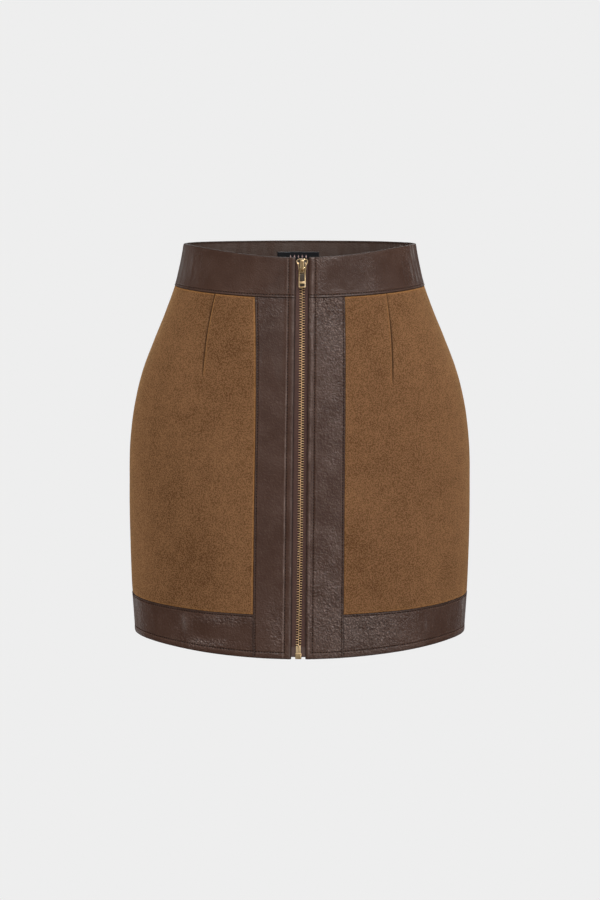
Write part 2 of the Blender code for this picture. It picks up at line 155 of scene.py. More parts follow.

# Where the leather's grain stands out, and with it the painted light and shade on its folds and a painted
# sheen;
# and where the suede is darker (below 0) or lighter: partly its nap, partly painted light and shade, lighter
# near both sides and darker under the waistband.
GRAIN_AND_PAINTED_LIGHT = np.array([
    # angle  drop  half_angle  half_drop  strength
    (13, 0.074, 8.0, 0.032, 0.95),
    (12, 0.054, 6.0, 0.005, 0.90),
    (11, 0.170, 8.0, 0.080, 0.35),
    (17, 0.130, 4.0, 0.040, 0.45),
    (8, 0.350, 8.0, 0.070, 0.70),
    (24, 0.385, 13.0, 0.030, 1.10),
    (-17, 0.080, 4.0, 0.050, 0.12),
    (-10, 0.070, 6.0, 0.016, 0.10),
    (-8, 0.385, 3.0, 0.025, 0.35),
    (-42, 0.385, 6.0, 0.030, 0.25),
    (-26, 0.380, 9.0, 0.005, 0.90),
    (-33, 0.404, 10.0, 0.004, 0.90),
    (12, 0.013, 7.0, 0.006, 2.20),
    (9, 0.030, 3.0, 0.024, 0.90),
    (34, 0.018, 5.0, 0.008, 0.80),
    (35, 0.042, 4.0, 0.008, 1.60),
    (66, 0.028, 5.0, 0.020, 1.50),
    (-20, 0.046, 12.0, 0.006, 0.80),
    (84, 0.390, 8.0, 0.030, 0.60),
    (-76, 0.384, 6.0, 0.020, 0.35),
    (-84, 0.030, 8.0, 0.030, 0.80),
    (130, 0.034, 12.0, 0.022, 0.90),
    (150, 0.392, 14.0, 0.026, 0.80),
    (205, 0.386, 10.0, 0.030, 0.60),
    (216, 0.030, 10.0, 0.020, 0.90),
    (250, 0.392, 9.0, 0.026, 0.70),
])
NAP_AND_PAINTED_LIGHT = np.array([
    # angle  drop  half_angle  half_drop  tone
    (-75, 0.230, 12.0, 0.160, 0.45),
    (76, 0.230, 13.0, 0.160, 0.60),
    (-38, 0.070, 24.0, 0.035, -0.40),
    (38, 0.070, 24.0, 0.035, -0.35),
    (-36, 0.335, 14.0, 0.040, -0.38),
    (-52, 0.300, 6.0, 0.050, -0.30),
    (-22, 0.250, 7.0, 0.035, 0.45),
    (-24, 0.310, 5.0, 0.030, 0.30),
    (-44, 0.110, 6.0, 0.040, 0.35),
    (-58, 0.150, 8.0, 0.060, -0.30),
    (-24, 0.120, 6.0, 0.040, -0.25),
    (19, 0.310, 4.5, 0.028, -0.65),
    (27, 0.340, 6.0, 0.016, -0.50),
    (18, 0.250, 4.0, 0.025, 0.50),
    (30, 0.140, 5.0, 0.020, -0.40),
    (56, 0.110, 7.0, 0.040, -0.35),
    (46, 0.280, 10.0, 0.040, 0.25),
    (60, 0.330, 8.0, 0.050, -0.25),
    (112, 0.220, 9.0, 0.050, -0.45),
    (140, 0.150, 10.0, 0.040, 0.40),
    (158, 0.320, 9.0, 0.035, -0.55),
    (176, 0.240, 7.0, 0.050, 0.35),
    (200, 0.140, 9.0, 0.040, -0.45),
    (222, 0.270, 8.0, 0.045, 0.40),
    (246, 0.330, 10.0, 0.030, -0.50),
])

# Where the leather is darker (below 0) or lighter: partly an uneven coat, partly painted shade and light, and
# above 0 also a painted grey sheen.
PATINA_AND_PAINTED_LIGHT = np.array([
    # angle  drop  half_angle  half_drop  tone
    (-14, 0.080, 8.0, 0.045, -0.90),
    (-40, 0.026, 30.0, 0.030, 0.12),
    (12, 0.080, 8.0, 0.040, 0.25),
    (-10, 0.250, 9.0, 0.120, -0.15),
    (34, 0.030, 30.0, 0.024, -0.80),
    (78, 0.030, 12.0, 0.024, -0.50),
    (22, 0.385, 14.0, 0.040, 0.30),
    (62, 0.390, 16.0, 0.030, -0.50),
    (-30, 0.385, 16.0, 0.030, -0.15),
    (-76, 0.026, 9.0, 0.024, 0.75),
    (120, 0.030, 16.0, 0.026, -0.35),
    (170, 0.028, 18.0, 0.024, 0.30),
    (236, 0.030, 14.0, 0.026, -0.30),
    (140, 0.388, 18.0, 0.030, 0.30),
    (215, 0.388, 16.0, 0.030, -0.35),
])

# Painted highlights: where a ridge or an edge would catch the light.
GLINTS = np.array([
    # angle  drop  half_angle  half_drop  strength
    (66.5, 0.027, 1.0, 0.010, 0.6),
    (70.5, 0.011, 1.0, 0.011, 0.9),
    (74.5, 0.008, 1.1, 0.009, 1.2),
    (71.5, 0.034, 0.9, 0.008, 0.9),
    (76.5, 0.029, 0.9, 0.012, 0.9),
    (81.0, 0.040, 1.2, 0.009, 0.7),
    (-58.0, 0.030, 1.8, 0.010, 0.12),
    (-64.0, 0.020, 2.2, 0.014, 0.20),
    (-70.0, 0.031, 1.6, 0.013, 0.22),
    (-78.0, 0.022, 3.0, 0.020, 0.35),
    (76.5, 0.372, 1.1, 0.014, 0.9),
    (80.5, 0.382, 1.2, 0.009, 0.5),
    (-76.0, 0.372, 1.3, 0.010, 0.5),
    (-43.0, 0.385, 0.9, 0.008, 0.4),
    (116.0, 0.024, 1.2, 0.012, 0.4),
    (128.0, 0.030, 1.1, 0.009, 0.3),
    (238.0, 0.022, 1.3, 0.012, 0.35),
    (251.0, 0.028, 1.1, 0.012, 0.45),
])

# Creases in the leather: soft ridges, and troughs where the height is below 0. The turn is in degrees from
# level. The last three columns are written in millimetres.
CREASES = np.array([
    # angle  drop    turn  half_length  half_width  height
    (10.4, 0.342, 58, 17, 1.7, 0.45),
    (9.2, 0.348, 62, 13, 1.8, -0.40),
    (12.6, 0.362, 80, 9, 1.7, 0.30),
    (10.0, 0.060, 12, 8, 1.6, 0.40),
    (14.0, 0.066, -18, 7, 1.7, -0.40),
    (16.0, 0.058, 24, 5, 1.6, 0.45),
    (12.0, 0.078, 64, 8, 1.8, 0.30),
    (16.6, 0.112, 80, 14, 1.9, 0.35),
    (15.4, 0.146, 96, 10, 1.8, -0.30),
    (17.0, 0.186, 84, 12, 1.7, 0.25),
    (8.0, 0.230, 70, 20, 2.6, -0.25),
    (12.0, 0.270, 104, 22, 3.0, 0.25),
    (-15.6, 0.084, 100, 12, 1.8, 0.30),
    (-13.0, 0.150, 78, 20, 2.8, -0.25),
    (-16.0, 0.240, 94, 18, 2.4, 0.22),
    (-9.4, 0.316, 84, 24, 2.4, -0.28),
    (-8.2, 0.372, 74, 13, 1.9, 0.35),
    (-12.6, 0.386, 60, 9, 1.8, -0.30),
    (19.0, 0.396, 12, 11, 1.8, 0.35),
    (24.0, 0.384, 64, 9, 1.9, -0.35),
    (28.0, 0.388, 98, 9, 1.9, 0.40),
    (33.0, 0.378, 76, 10, 1.9, -0.40),
    (37.0, 0.384, 92, 9, 1.8, 0.35),
    (47.0, 0.386, 84, 11, 2.6, -0.35),
    (62.0, 0.382, 100, 12, 2.8, 0.35),
    (76.0, 0.386, 88, 11, 2.2, 0.40),
    (-24.0, 0.392, 10, 12, 2.0, 0.30),
    (-33.0, 0.382, 96, 10, 2.2, -0.30),
    (-41.0, 0.386, 108, 9, 1.8, 0.42),
    (-44.0, 0.388, 98, 8, 1.8, -0.35),
    (-60.0, 0.384, 84, 11, 2.6, 0.30),
    (-75.0, 0.386, 94, 11, 2.4, -0.35),
    (9.6, 0.024, 74, 8, 1.7, 0.32),
    (12.4, 0.034, 118, 7, 1.6, -0.28),
    (17.0, 0.046, 8, 8, 1.7, 0.34),
    (27.0, 0.018, 24, 10, 2.2, 0.22),
    (36.0, 0.036, 34, 6, 1.8, 0.36),
    (45.0, 0.028, 78, 11, 2.6, -0.28),
    (57.0, 0.026, 86, 14, 2.0, 0.42),
    (63.0, 0.026, 96, 14, 1.8, -0.40),
    (69.0, 0.024, 88, 15, 1.9, 0.48),
    (75.0, 0.026, 82, 13, 1.8, -0.36),
    (83.0, 0.024, 94, 13, 2.2, 0.34),
    (-15.0, 0.044, 4, 9, 1.8, 0.32),
    (-23.0, 0.046, -8, 8, 1.7, 0.34),
    (-34.0, 0.024, 68, 10, 2.6, -0.22),
    (-47.0, 0.028, 100, 12, 2.8, 0.26),
    (-56.0, 0.026, 92, 14, 2.0, -0.36),
    (-62.0, 0.024, 84, 15, 1.9, 0.44),
    (-68.0, 0.026, 96, 14, 1.8, -0.40),
    (-74.0, 0.026, 88, 14, 1.9, 0.40),
    (-84.0, 0.024, 98, 12, 2.2, 0.30),
    (101.0, 0.024, 86, 13, 2.2, -0.38),
    (112.0, 0.028, 98, 12, 1.9, 0.42),
    (121.0, 0.022, 78, 13, 2.4, -0.32),
    (136.0, 0.030, 62, 10, 2.2, 0.34),
    (149.0, 0.026, 104, 13, 2.6, -0.30),
    (164.0, 0.038, 14, 12, 2.0, 0.34),
    (176.0, 0.020, 80, 10, 2.4, 0.24),
    (189.0, 0.034, -12, 13, 2.1, -0.32),
    (203.0, 0.026, 72, 12, 2.4, 0.34),
    (217.0, 0.026, 96, 13, 2.2, -0.36),
    (231.0, 0.028, 84, 12, 2.0, 0.42),
    (244.0, 0.024, 100, 13, 2.0, -0.40),
    (255.0, 0.026, 88, 13, 2.2, 0.38),
    (104.0, 0.386, 92, 11, 2.2, 0.40),
    (117.0, 0.384, 82, 11, 2.6, -0.38),
    (133.0, 0.390, 30, 13, 2.0, 0.34),
    (146.0, 0.384, 98, 10, 1.9, -0.40),
    (158.0, 0.388, 70, 9, 1.8, 0.42),
    (172.0, 0.392, 8, 14, 2.2, 0.28),
    (187.0, 0.384, 96, 11, 2.4, -0.34),
    (204.0, 0.388, 76, 10, 1.9, 0.40),
    (221.0, 0.386, 104, 11, 2.4, -0.32),
    (238.0, 0.390, 20, 12, 2.0, 0.34),
    (253.0, 0.384, 90, 11, 2.0, 0.42),
])
CREASES[:, 3:] *= MM


# How the cloth is worked out.
SEARCH_DROP = 0.2  # near the middle of every long piece, where a search for its lines starts
SEARCH_ROUNDS = 8
RUN_POINTS = 1200
MEAN_RADIUS = 0.13  # of the skirt, to space the waves along its seams by
ROW_RADIUS = 0.16  # of the rows of stitches that go round it
THREAD_LIFT = 0.10 * MM


def turn_from(at, angle):
    """Degrees round the skirt from a place in degrees, between -180 and 180."""
    return (np.degrees(angle) - at + 180) % 360 - 180


def creases(angle, drop, wide):
    """The sum of long soft ridges: each is a bell across its own line, which bows a little, and a flatter
    bell along it. wide is the length of a radian there."""
    total = np.zeros_like(angle)
    for at, middle, turn, half_length, half_width, height in CREASES:
        aside, below, t = turn_from(at, angle) * math.pi / 180 * wide, drop - middle, math.radians(turn)
        along, across = aside * math.cos(t) + below * math.sin(t), below * math.cos(t) - aside * math.sin(t)
        bow = 0.08 * along**2 / half_length
        total += height * np.exp(-((along / half_length) ** 4) - ((across - bow) / half_width) ** 2)
    return total


def spots(table, angle, drop):
    """The sum of round soft spots: each is a bell in angle and in drop, times its strength."""
    total = np.zeros_like(angle)
    for at, middle, half_angle, half_drop, strength in table:
        aside = turn_from(at, angle) / half_angle
        total += strength * np.exp(-(aside**2) - ((drop - middle) / half_drop) ** 2)
    return total


def drape(angle, drop):
    """The height of the shared ridges and troughs: bells across that drift sideways as they run down."""
    total = np.zeros_like(angle)
    for at, middle, half_angle, half_drop, drift, height in DRAPE:
        aside = (turn_from(at, angle) - drift * (drop - middle)) / half_angle
        total += height * np.exp(-(aside**2) - ((drop - middle) / half_drop) ** 2)
    return total


def smooth_curve(table, at):
    """Every column of the table at these values of its first column, on a cubic through its rows."""
    x, y = table[:, 0], table[:, 1:]
    slope = np.gradient(y, x, axis=0)
    at = np.asarray(at, float)
    i = np.clip(np.searchsorted(x, at) - 1, 0, len(x) - 2)
    h = x[i + 1] - x[i]
    t = ((at - x[i]) / h)[..., None]
    h = h[..., None]
    return (
        (1 + 2 * t) * (1 - t) ** 2 * y[i]
        + t * (1 - t) ** 2 * h * slope[i]
        + t * t * (3 - 2 * t) * y[i + 1]
        + t * t * (t - 1) * h * slope[i + 1]
    )


def half_width(drop):
    return smooth_curve(SECTIONS, drop)[..., 0]


def skin(angle, drop):
    """Half ellipses: half width times the sine in X, front or back depth times the cosine in Y."""
    wide, front, back = np.moveaxis(smooth_curve(SECTIONS, drop), -1, 0)
    depth = np.where(np.cos(angle) > 0, front, back)
    return np.stack([wide * np.sin(angle), -depth * np.cos(angle), RIM_HEIGHT - drop], -1)


def unit(vectors):
    return vectors / np.linalg.norm(vectors, axis=-1, keepdims=True)


def skin_steps(angle, drop):
    """The skin's slopes round it and down it, from small steps each way."""
    step = 1e-4
    across = (skin(angle + step, drop) - skin(angle - step, drop)) / (2 * step)
    down = (skin(angle, drop + step) - skin(angle, drop - step)) / (2 * step)
    return across, down


def skin_scale(angle, drop):
    """The length on the skin of one radian round it, and of one metre of drop."""
    return [np.linalg.norm(slope, axis=-1) for slope in skin_steps(angle, drop)]


def skin_out(angle, drop):
    """The skin's outward direction: across its two slopes."""
    across, down = skin_steps(angle, drop)
    return unit(np.cross(down, across))


def path_length(points, axis=0):
    """The length of each line of points along an axis."""
    return np.linalg.norm(np.diff(points, axis=axis), axis=-1).sum(axis)


def round_line(name):
    """The drop of a line round the skirt at each angle: lower in front and behind by powers of the cosine."""
    side, front_dip, front_power, back_dip, back_power = ROUND_LINES[name]

    def drop(angle):
        lean = np.cos(angle)
        front = front_dip * np.clip(lean, 0, 1) ** front_power
        back = back_dip * np.clip(-lean, 0, 1) ** back_power
        return side + front + back

    return drop


def level(drop):
    return lambda angle: np.full_like(np.asarray(angle, float), drop)


def moved(line, by):
    return lambda at: line(at) + by


def upright(x_of_drop, behind=False):
    """The angle of a line that runs down the front or the back, from its X at each drop."""

    def angle(drop):
        front = np.arcsin(x_of_drop(drop) / half_width(drop))
        return math.pi - front if behind else front

    return angle


def zip_x(offset):
    """The closed zip's line: a straight lean, bowed a little to +X between the slider and the bottom box."""

    def x(drop):
        share = np.clip((drop - BOW_DROPS[0]) / (BOW_DROPS[1] - BOW_DROPS[0]), 0, 1)
        return ZIP_TOP_X + ZIP_LEAN * drop + ZIP_BOW * (1 - (2 * share - 1) ** 4) + offset

    return x


def opening_x(side):
    return lambda drop: ZIP_TOP_X + ZIP_LEAN * drop + side * (OPENING_HALF_TOP + OPENING_HALF_GROWTH * drop)


def band_seam_x(side, inward):
    column = 0 if side < 0 else 1
    return lambda drop: smooth_curve(BAND_SEAMS, drop)[..., column] - side * inward


def fixed_seam(angle, past):
    """A seam at one angle, moved along the skin towards wider angles."""
    return lambda drop: angle + past / skin_scale(np.full_like(drop, angle), drop)[0]


def dart_share(name, drop):
    """How far down a dart a drop is, from 0 at the waist seam to 1 at its tip."""
    top_drop = ROUND_LINES["waist_seam"][0]
    return (drop - top_drop) / (DARTS[name][3] - top_drop)


def dart_guide(name):
    """The angle of a dart's line: straight in X, with half a sine wave added from the seam to the tip."""
    top_x, tip_x, bow = DARTS[name][:3]

    def x(drop):
        share = dart_share(name, drop)
        return top_x + (tip_x - top_x) * share + bow * np.sin(math.pi * np.clip(share, 0, 1))

    return upright(x, name.startswith("back"))


# ---- heights over the skin ------------------------------------------------------------------------------
def bell(distance, at, width):
    return np.exp(-(((distance - at) / width) ** 2))


def turned(distance, radius):
    """A folded edge: a quarter round, from 0 inside to -radius at the edge."""
    short = np.clip(1 - distance / radius, 0, 1)
    return radius * (np.sqrt(1 - short**2) - 1)


def ramp(distance, start, end):
    """0 up to one distance from an edge and 1 from another on, straight between them."""
    return np.clip((distance - start) / (end - start), 0, 1)


def swell(distance, start, end):
    """A low roll between two distances from an edge: a squared sine, 0 outside them."""
    return np.sin(math.pi * ramp(distance, start, end)) ** 2


def rise(distance, start, end):
    """A smooth step: 0 up to one distance from an edge, 1 from another on."""
    t = ramp(distance, start, end)
    return t * t * (3 - 2 * t)


def ripple(along, seed, longest):
    """A slow uneven wave along an edge: five sines of falling length, with phases from the seed."""
    rng = np.random.default_rng(seed)
    total = np.zeros_like(along)
    for k in range(1, 6):
        total += np.sin(2 * math.pi * along * k**1.3 / longest + rng.uniform(0, 2 * math.pi)) / k
    return total / 2


def arc(angle):
    """How far round the skirt an angle is, near enough for a wave along a seam."""
    return angle * MEAN_RADIUS


# ---- meshes ---------------------------------------------------------------------------------------------
def into_scene(name, data):
    made = bpy.data.objects.new(name, data)
    bpy.context.collection.objects.link(made)
    return made


def add_mesh(name, points, faces, body, material, uv=None, marks=None):
    """A mesh piece at the origin. points is (n, 3), faces a list of (m, 3) or (m, 4) index arrays."""
    data = bpy.data.meshes.new(name)
    rows = [row for block in faces for row in np.asarray(block).tolist()]
    data.from_pydata(np.asarray(points, float).tolist(), [], rows)
    data.shade_smooth()
    if uv is not None:
        corner = np.empty(len(data.loops), np.int32)
        data.loops.foreach_get("vertex_index", corner)
        layer = data.uv_layers.new(name="cloth")
        layer.data.foreach_set("uv", np.asarray(uv, np.float32)[corner].ravel())
    for key, values in (marks or {}).items():
        mark = data.attributes.new(key, "FLOAT", "POINT")
        mark.data.foreach_set("value", np.asarray(values, np.float32))
    data.materials.append(material)
    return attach(into_scene(name, data), body)


def grid_faces(rows, columns, first=0, wrap=False, loop=False):
    """Quads of a grid of points, counted row by row. With wrap the last column meets the first, and with loop
    the last row does."""
    index = first + np.arange(rows * columns).reshape(rows, columns)
    if loop:
        index = np.concatenate([index, index[:1]])
    if wrap:
        index = np.concatenate([index, index[:, :1]], axis=1)
    return np.stack([index[:-1, :-1], index[1:, :-1], index[1:, 1:], index[:-1, 1:]], -1).reshape(-1, 4)


def wall_faces(rows, columns):
    """Faces of a wall between two grids, the outer one's points first: both sides, and the rim round them."""
    outer = np.arange(rows * columns).reshape(rows, columns)
    under = outer + rows * columns
    rim = [
        np.stack([under[:-1, 0], under[1:, 0], outer[1:, 0], outer[:-1, 0]], -1),
        np.stack([outer[:-1, -1], outer[1:, -1], under[1:, -1], under[:-1, -1]], -1),
        np.stack([under[0, :-1], outer[0, :-1], outer[0, 1:], under[0, 1:]], -1),
        np.stack([outer[-1, :-1], under[-1, :-1], under[-1, 1:], outer[-1, 1:]], -1),
    ]
    return [grid_faces(rows, columns), grid_faces(rows, columns, rows * columns)[:, ::-1], *rim]


def facing_out(points, faces):
    """The shape, with its faces turned over if the volume they enclose comes out less than 0."""
    volume = 0.0
    for block in faces:
        a = points[block[:, 0]]
        for k in range(1, block.shape[1] - 1):
            volume += float((a * np.cross(points[block[:, k]], points[block[:, k + 1]])).sum())
    return points, faces if volume > 0 else [block[:, ::-1] for block in faces]


def rings_of(*parts):
    """Rings of points from their X, Y and Z, each of them a column, a row or a whole grid."""
    return np.stack(np.broadcast_arrays(*parts), -1)


def closed_tube(rings):
    """A tube through rings of points, with a pole in the middle of each end."""
    count, around = rings.shape[:2]
    points = np.concatenate([rings.reshape(-1, 3), rings[[0, -1]].mean(1)])
    ring, pole = np.arange(around), np.full(around, count * around)
    after = np.roll(ring, -1)
    last = (count - 1) * around
    ends = [np.stack([pole, ring, after], -1), np.stack([pole + 1, after + last, ring + last], -1)]
    return facing_out(points, [grid_faces(count, around, wrap=True), *ends])


def squared_ring(around, power):
    """The cosines and sines of points round a ring, pushed out towards a square by a power below 1."""
    turn = (np.arange(around) + 0.5) * (2 * math.pi / around)
    return [np.sign(f) * np.abs(f) ** power for f in (np.cos(turn), np.sin(turn))]


def round_corners(half_x, half_y, count):
    """The middles of a rectangle's rounded corners, and the turns round them, with count points for each."""
    x, y = np.repeat([(1, 1), (-1, 1), (-1, -1), (1, -1)], count, axis=0).T
    turn = np.concatenate([np.linspace(0, math.pi / 2, count) + k * math.pi / 2 for k in range(4)])
    return half_x * x, half_y * y, turn


def repeated(shape, origins, axes):
    """The shape once at every origin, its own X, Y and Z turned to the rows of axes."""
    points, faces = shape
    placed = np.einsum("pk,nkj->npj", points, axes) + origins[:, None]
    steps = (np.arange(len(origins)) * len(points))[:, None, None]
    return placed.reshape(-1, 3), [(block[None] + steps).reshape(-1, block.shape[1]) for block in faces]


def joined(shapes):
    """Several (points, faces) as one."""
    points, faces, first = [], [], 0
    for some_points, some_faces in shapes:
        points.append(some_points)
        faces += [block + first for block in some_faces]
        first += len(some_points)
    return np.concatenate(points), faces


def stations(length, marks, coarse, fine, reach=1.6 * MM):
    """Shares from 0 to 1 along a length, close together at both ends and round each mark."""
    at = np.linspace(0, length, 4000)
    density = np.full_like(at, 1 / coarse)
    for mark in (0.0, length, *marks):
        density += (1 / fine - 1 / coarse) * np.exp(-(((at - mark) / reach) ** 2))
    total = np.concatenate([[0], np.cumsum((density[1:] + density[:-1]) / 2 * np.diff(at))])
    count = int(math.ceil(total[-1]))
    return np.interp(np.linspace(0, total[-1], count + 1), total, at) / length


# ---- cut pieces and their stitches ----------------------------------------------------------------------
def nearest_edge(margins):
    return np.minimum.reduce(list(margins.values()))


class Cut:
    """One cut piece. guides are angles at a drop, from its left edge to its right one, with a dart's line
    between them if it has one; edges are its top and bottom, drops at an angle. relief is the height of its
    face over the skin, and depth sinks all of it. sewn lists its rows of stitches: edge, distance, start and
    stop. dark says where shade is painted on its finish, shine and light where highlights are painted. Those
    three and relief take (angle, drop, margins)."""

    def __init__(self, name, guides, edges, wall, relief, sewn=(), grain=(0.0, 0.0), depth=0.0,
                 dark=None, shine=None, light=None):
        self.name, self.guides, (self.top, self.bottom) = name, guides, edges
        self.wall, self.relief, self.grain, self.depth = wall, relief, grain, depth
        self.dark, self.shine, self.light = dark, shine, light
        self.rows = [Row(self, *line) for line in sewn]

    def margins(self, angle, drop):
        """Distances along the skin to the left, right, top and bottom edges."""
        wide, tall = skin_scale(angle, drop)
        return {
            "left": (angle - self.guides[0](drop)) * wide,
            "right": (self.guides[-1](drop) - angle) * wide,
            "top": (drop - self.top(angle)) * tall,
            "bottom": (self.bottom(angle) - drop) * tall,
        }

    def height(self, angle, drop):
        """The face's height over the skin, with creases away from the edges if the piece is sewn."""
        margins = self.margins(angle, drop)
        total = drape(angle, drop) + self.relief(angle, drop, margins)
        if self.rows:
            total += creases(angle, drop, skin_scale(angle, drop)[0]) * rise(nearest_edge(margins), 0, 8 * MM)
        for row in self.rows:
            total += row.groove(angle, drop, margins)
        return total

    def face(self, angle, drop):
        """Points of the outer face, and the skin's normals there."""
        normal = skin_out(angle, drop)
        return skin(angle, drop) + normal * (self.height(angle, drop) - self.depth)[..., None], normal

    def spread(self, shares, down):
        """Angle and drop of a grid of points, from the shares across each span and the shares down."""
        count = sum(len(s) - 1 for s in shares) + 1
        drop = np.full((len(down), count), SEARCH_DROP)
        for _ in range(SEARCH_ROUNDS):
            angle = np.empty_like(drop)
            start = 0
            for k, share in enumerate(shares):
                here = slice(start, start + len(share))
                low, high = self.guides[k](drop[:, here]), self.guides[k + 1](drop[:, here])
                angle[:, here] = low + (high - low) * share
                start += len(share) - 1
            drop = self.top(angle) + (self.bottom(angle) - self.top(angle)) * down[:, None]
        return angle, drop

    def run(self, edge, inset, start, stop):
        """Angle and drop of a line that keeps one distance from an edge, between two shares of its length."""
        share = np.linspace(start, stop, RUN_POINTS)
        first, last = self.guides[0], self.guides[-1]
        sign = 1 if edge in ("left", "top") else -1
        if edge in ("left", "right"):
            guide = first if edge == "left" else last
            drop = np.full(RUN_POINTS, SEARCH_DROP)
            for _ in range(SEARCH_ROUNDS):
                angle = guide(drop) + sign * inset / skin_scale(guide(drop), drop)[0]
                drop = self.top(angle) + (self.bottom(angle) - self.top(angle)) * share
            return angle, drop
        line = self.top if edge == "top" else self.bottom
        drop = np.full(RUN_POINTS, float(line(0.0)))
        for _ in range(SEARCH_ROUNDS):
            angle = first(drop) + (last(drop) - first(drop)) * share
            drop = line(angle) + sign * inset / skin_scale(angle, line(angle))[1]
        return angle, drop

    def span(self, k):
        """How wide the space between two guides is, along the skin."""
        sides = (float(guide(SEARCH_DROP)) for guide in self.guides[k:k + 2])
        edges = np.linspace(*sides, 200)
        return path_length(skin(edges, np.full_like(edges, SEARCH_DROP)))

    def marks(self, angle, drop, margins):
        """What the finishes read: closeness to a seam or dart, where shade is painted, grain with its painted
        light, distance from the nearest row of stitches and the place along it, painted shine, and the spots
        of nap and patina with their painted light, and of painted glints."""
        ways = (self.dark, self.shine, self.light)
        dark, shine, light = (way(angle, drop, margins) if way else np.zeros_like(angle) for way in ways)
        off, at = np.full_like(angle, 1.0), np.zeros_like(angle)
        for row in self.rows:
            here = row.off(angle, drop, margins)
            off, at = np.where(here < off, here, off), np.where(here < off, row.at(angle, drop), at)
        plain, spotted = self.grain
        fade = (0.62 if self.rows else 0.5) * MM
        return {
            "seam": np.maximum(np.exp(-nearest_edge(margins) / fade), dark),
            "grain": plain + spotted * spots(GRAIN_AND_PAINTED_LIGHT, angle, drop),
            "off": off,
            "at": at,
            "shine": shine,
            "nap": spots(NAP_AND_PAINTED_LIGHT, angle, drop),
            "patina": spots(PATINA_AND_PAINTED_LIGHT, angle, drop),
            "glint": np.maximum(spots(GLINTS, angle, drop), light),
        }

    def make(self, material, across, down, ends):
        """The wall: the face, the lining side with its own turned edges, and the rim that joins them."""
        spans = [self.span(k) for k in range(len(self.guides) - 1)]
        middle = float((self.guides[0](SEARCH_DROP) + self.guides[-1](SEARCH_DROP)) / 2)
        tall = float(self.bottom(middle) - self.top(middle))
        fine_across, fine_down = [], []
        for row in self.rows:
            into, length = (fine_across, spans[0]) if row.upright else (fine_down, tall)
            into.append(row.inset if row.edge in ("left", "top") else length - row.inset)
        shares = [stations(s, fine_across if len(spans) == 1 else (), across, ends) for s in spans]
        angle, drop = self.spread(shares, stations(tall, fine_down, down, ends))
        face, normal = self.face(angle, drop)
        margins = self.margins(angle, drop)
        inner = self.depth + self.wall - drape(angle, drop)
        inner = inner + 0.7 * turned(nearest_edge(margins), 0.4 * self.wall)
        back = skin(angle, drop) - normal * inner[..., None]
        marks = {key: np.tile(value.ravel(), 2) for key, value in self.marks(angle, drop, margins).items()}
        inside = rise(margins["top"], 1.2 * MM, 2.6 * MM).ravel()
        marks["off"][angle.size:] = 1.0
        marks["lining"] = np.concatenate([np.zeros(angle.size), inside])
        marks["seam"][angle.size:] = np.maximum(marks["seam"][angle.size:], 0.5 * (1 - inside))
        flat = np.stack([margins["left"], -drop], -1).reshape(-1, 2)
        points = np.concatenate([face, back]).reshape(-1, 3)
        self.size = path_length(face, 1).max(), path_length(face, 0).max()
        cross = np.cross(face[1:, 1:] - face[:-1, :-1], face[1:, :-1] - face[:-1, 1:])
        self.area = float(np.linalg.norm(cross, axis=-1).sum() / 2)
        return add_mesh(f"{self.name}_cloth", points, wall_faces(*angle.shape), "skirt", material,
                        uv=np.tile(flat, (2, 1)), marks=marks)


class Row:
    """A row of stitches at one distance from an edge, between two shares of that edge's length."""

    def __init__(self, cut, edge, inset, start=0.0, stop=1.0):
        self.cut, self.edge, self.inset = cut, edge, inset
        self.upright = edge in ("left", "right")
        self.angle, self.drop = cut.run(edge, inset, start, stop)
        steps = np.linalg.norm(np.diff(skin(self.angle, self.drop), axis=0), axis=1)
        self.length = np.concatenate([[0], np.cumsum(steps)])
        self.count = max(int(self.length[-1] / STITCH_PITCH + 0.5), 1)

    def along(self, angle, drop):
        """What grows along the row: its own value here, and at each of its points."""
        return (drop, self.drop) if self.upright else (angle, self.angle)

    def at(self, angle, drop):
        """How many stitches from the row's start, on its own length."""
        here, table = self.along(angle, drop)
        return np.interp(here, table, self.length) * self.count / self.length[-1]

    def off(self, angle, drop, margins):
        """The distance from the row, grown past its two ends."""
        here, table = self.along(angle, drop)
        past = np.maximum(np.maximum(table[0] - here, here - table[-1]), 0)
        return np.hypot(margins[self.edge] - self.inset, past * (1.0 if self.upright else ROW_RADIUS))

    def groove(self, angle, drop, margins):
        """The thread pulls the leather down into a narrow groove with a low swell on each side."""
        off = self.off(angle, drop, margins)
        return 0.18 * MM * bell(off, 0, 2.2 * MM) - 0.60 * MM * bell(off, 0, 0.80 * MM)

    def stitches(self, shape):
        """The stitches of the row, each between two needle holes, lying on the face."""
        path, normal = self.cut.face(self.angle, self.drop)
        holes = (np.arange(self.count) + 0.5) * self.length[-1] / self.count

        def on(values, shift=0.0):
            return np.stack([np.interp(holes + shift, self.length, values[:, k]) for k in range(3)], -1)

        out = unit(on(normal))
        ahead = on(path, 1e-4) - on(path, -1e-4)
        ahead = unit(ahead - out * (ahead * out).sum(-1, keepdims=True))
        return repeated(shape, on(path) + out * THREAD_LIFT, np.stack([ahead, np.cross(out, ahead), out], 1))


# ---- shader expressions ---------------------------------------------------------------------------------
def maths(operation, swapped=False):
    """A method of Wire: one Math node of the wire and another wire or number."""

    def join(wire, other=0.0):
        return wire.net.math(operation, *((other, wire) if swapped else (wire, other)))

    return join


class Wire:
    """One output of a node. Arithmetic on it adds Math nodes."""

    __add__ = __radd__ = maths("ADD")
    __mul__ = __rmul__ = maths("MULTIPLY")
    __sub__, __rsub__ = maths("SUBTRACT"), maths("SUBTRACT", swapped=True)
    __truediv__ = maths("DIVIDE")
    __abs__ = maths("ABSOLUTE")
    sine = maths("SINE")

    def __init__(self, net, socket):
        self.net, self.socket = net, socket

    def within(self, low, high):
        """0 below low and 1 above high, straight between them."""
        return self.net.node("MapRange", {"clamp": True}, {"Value": self, "From Min": low, "From Max": high})


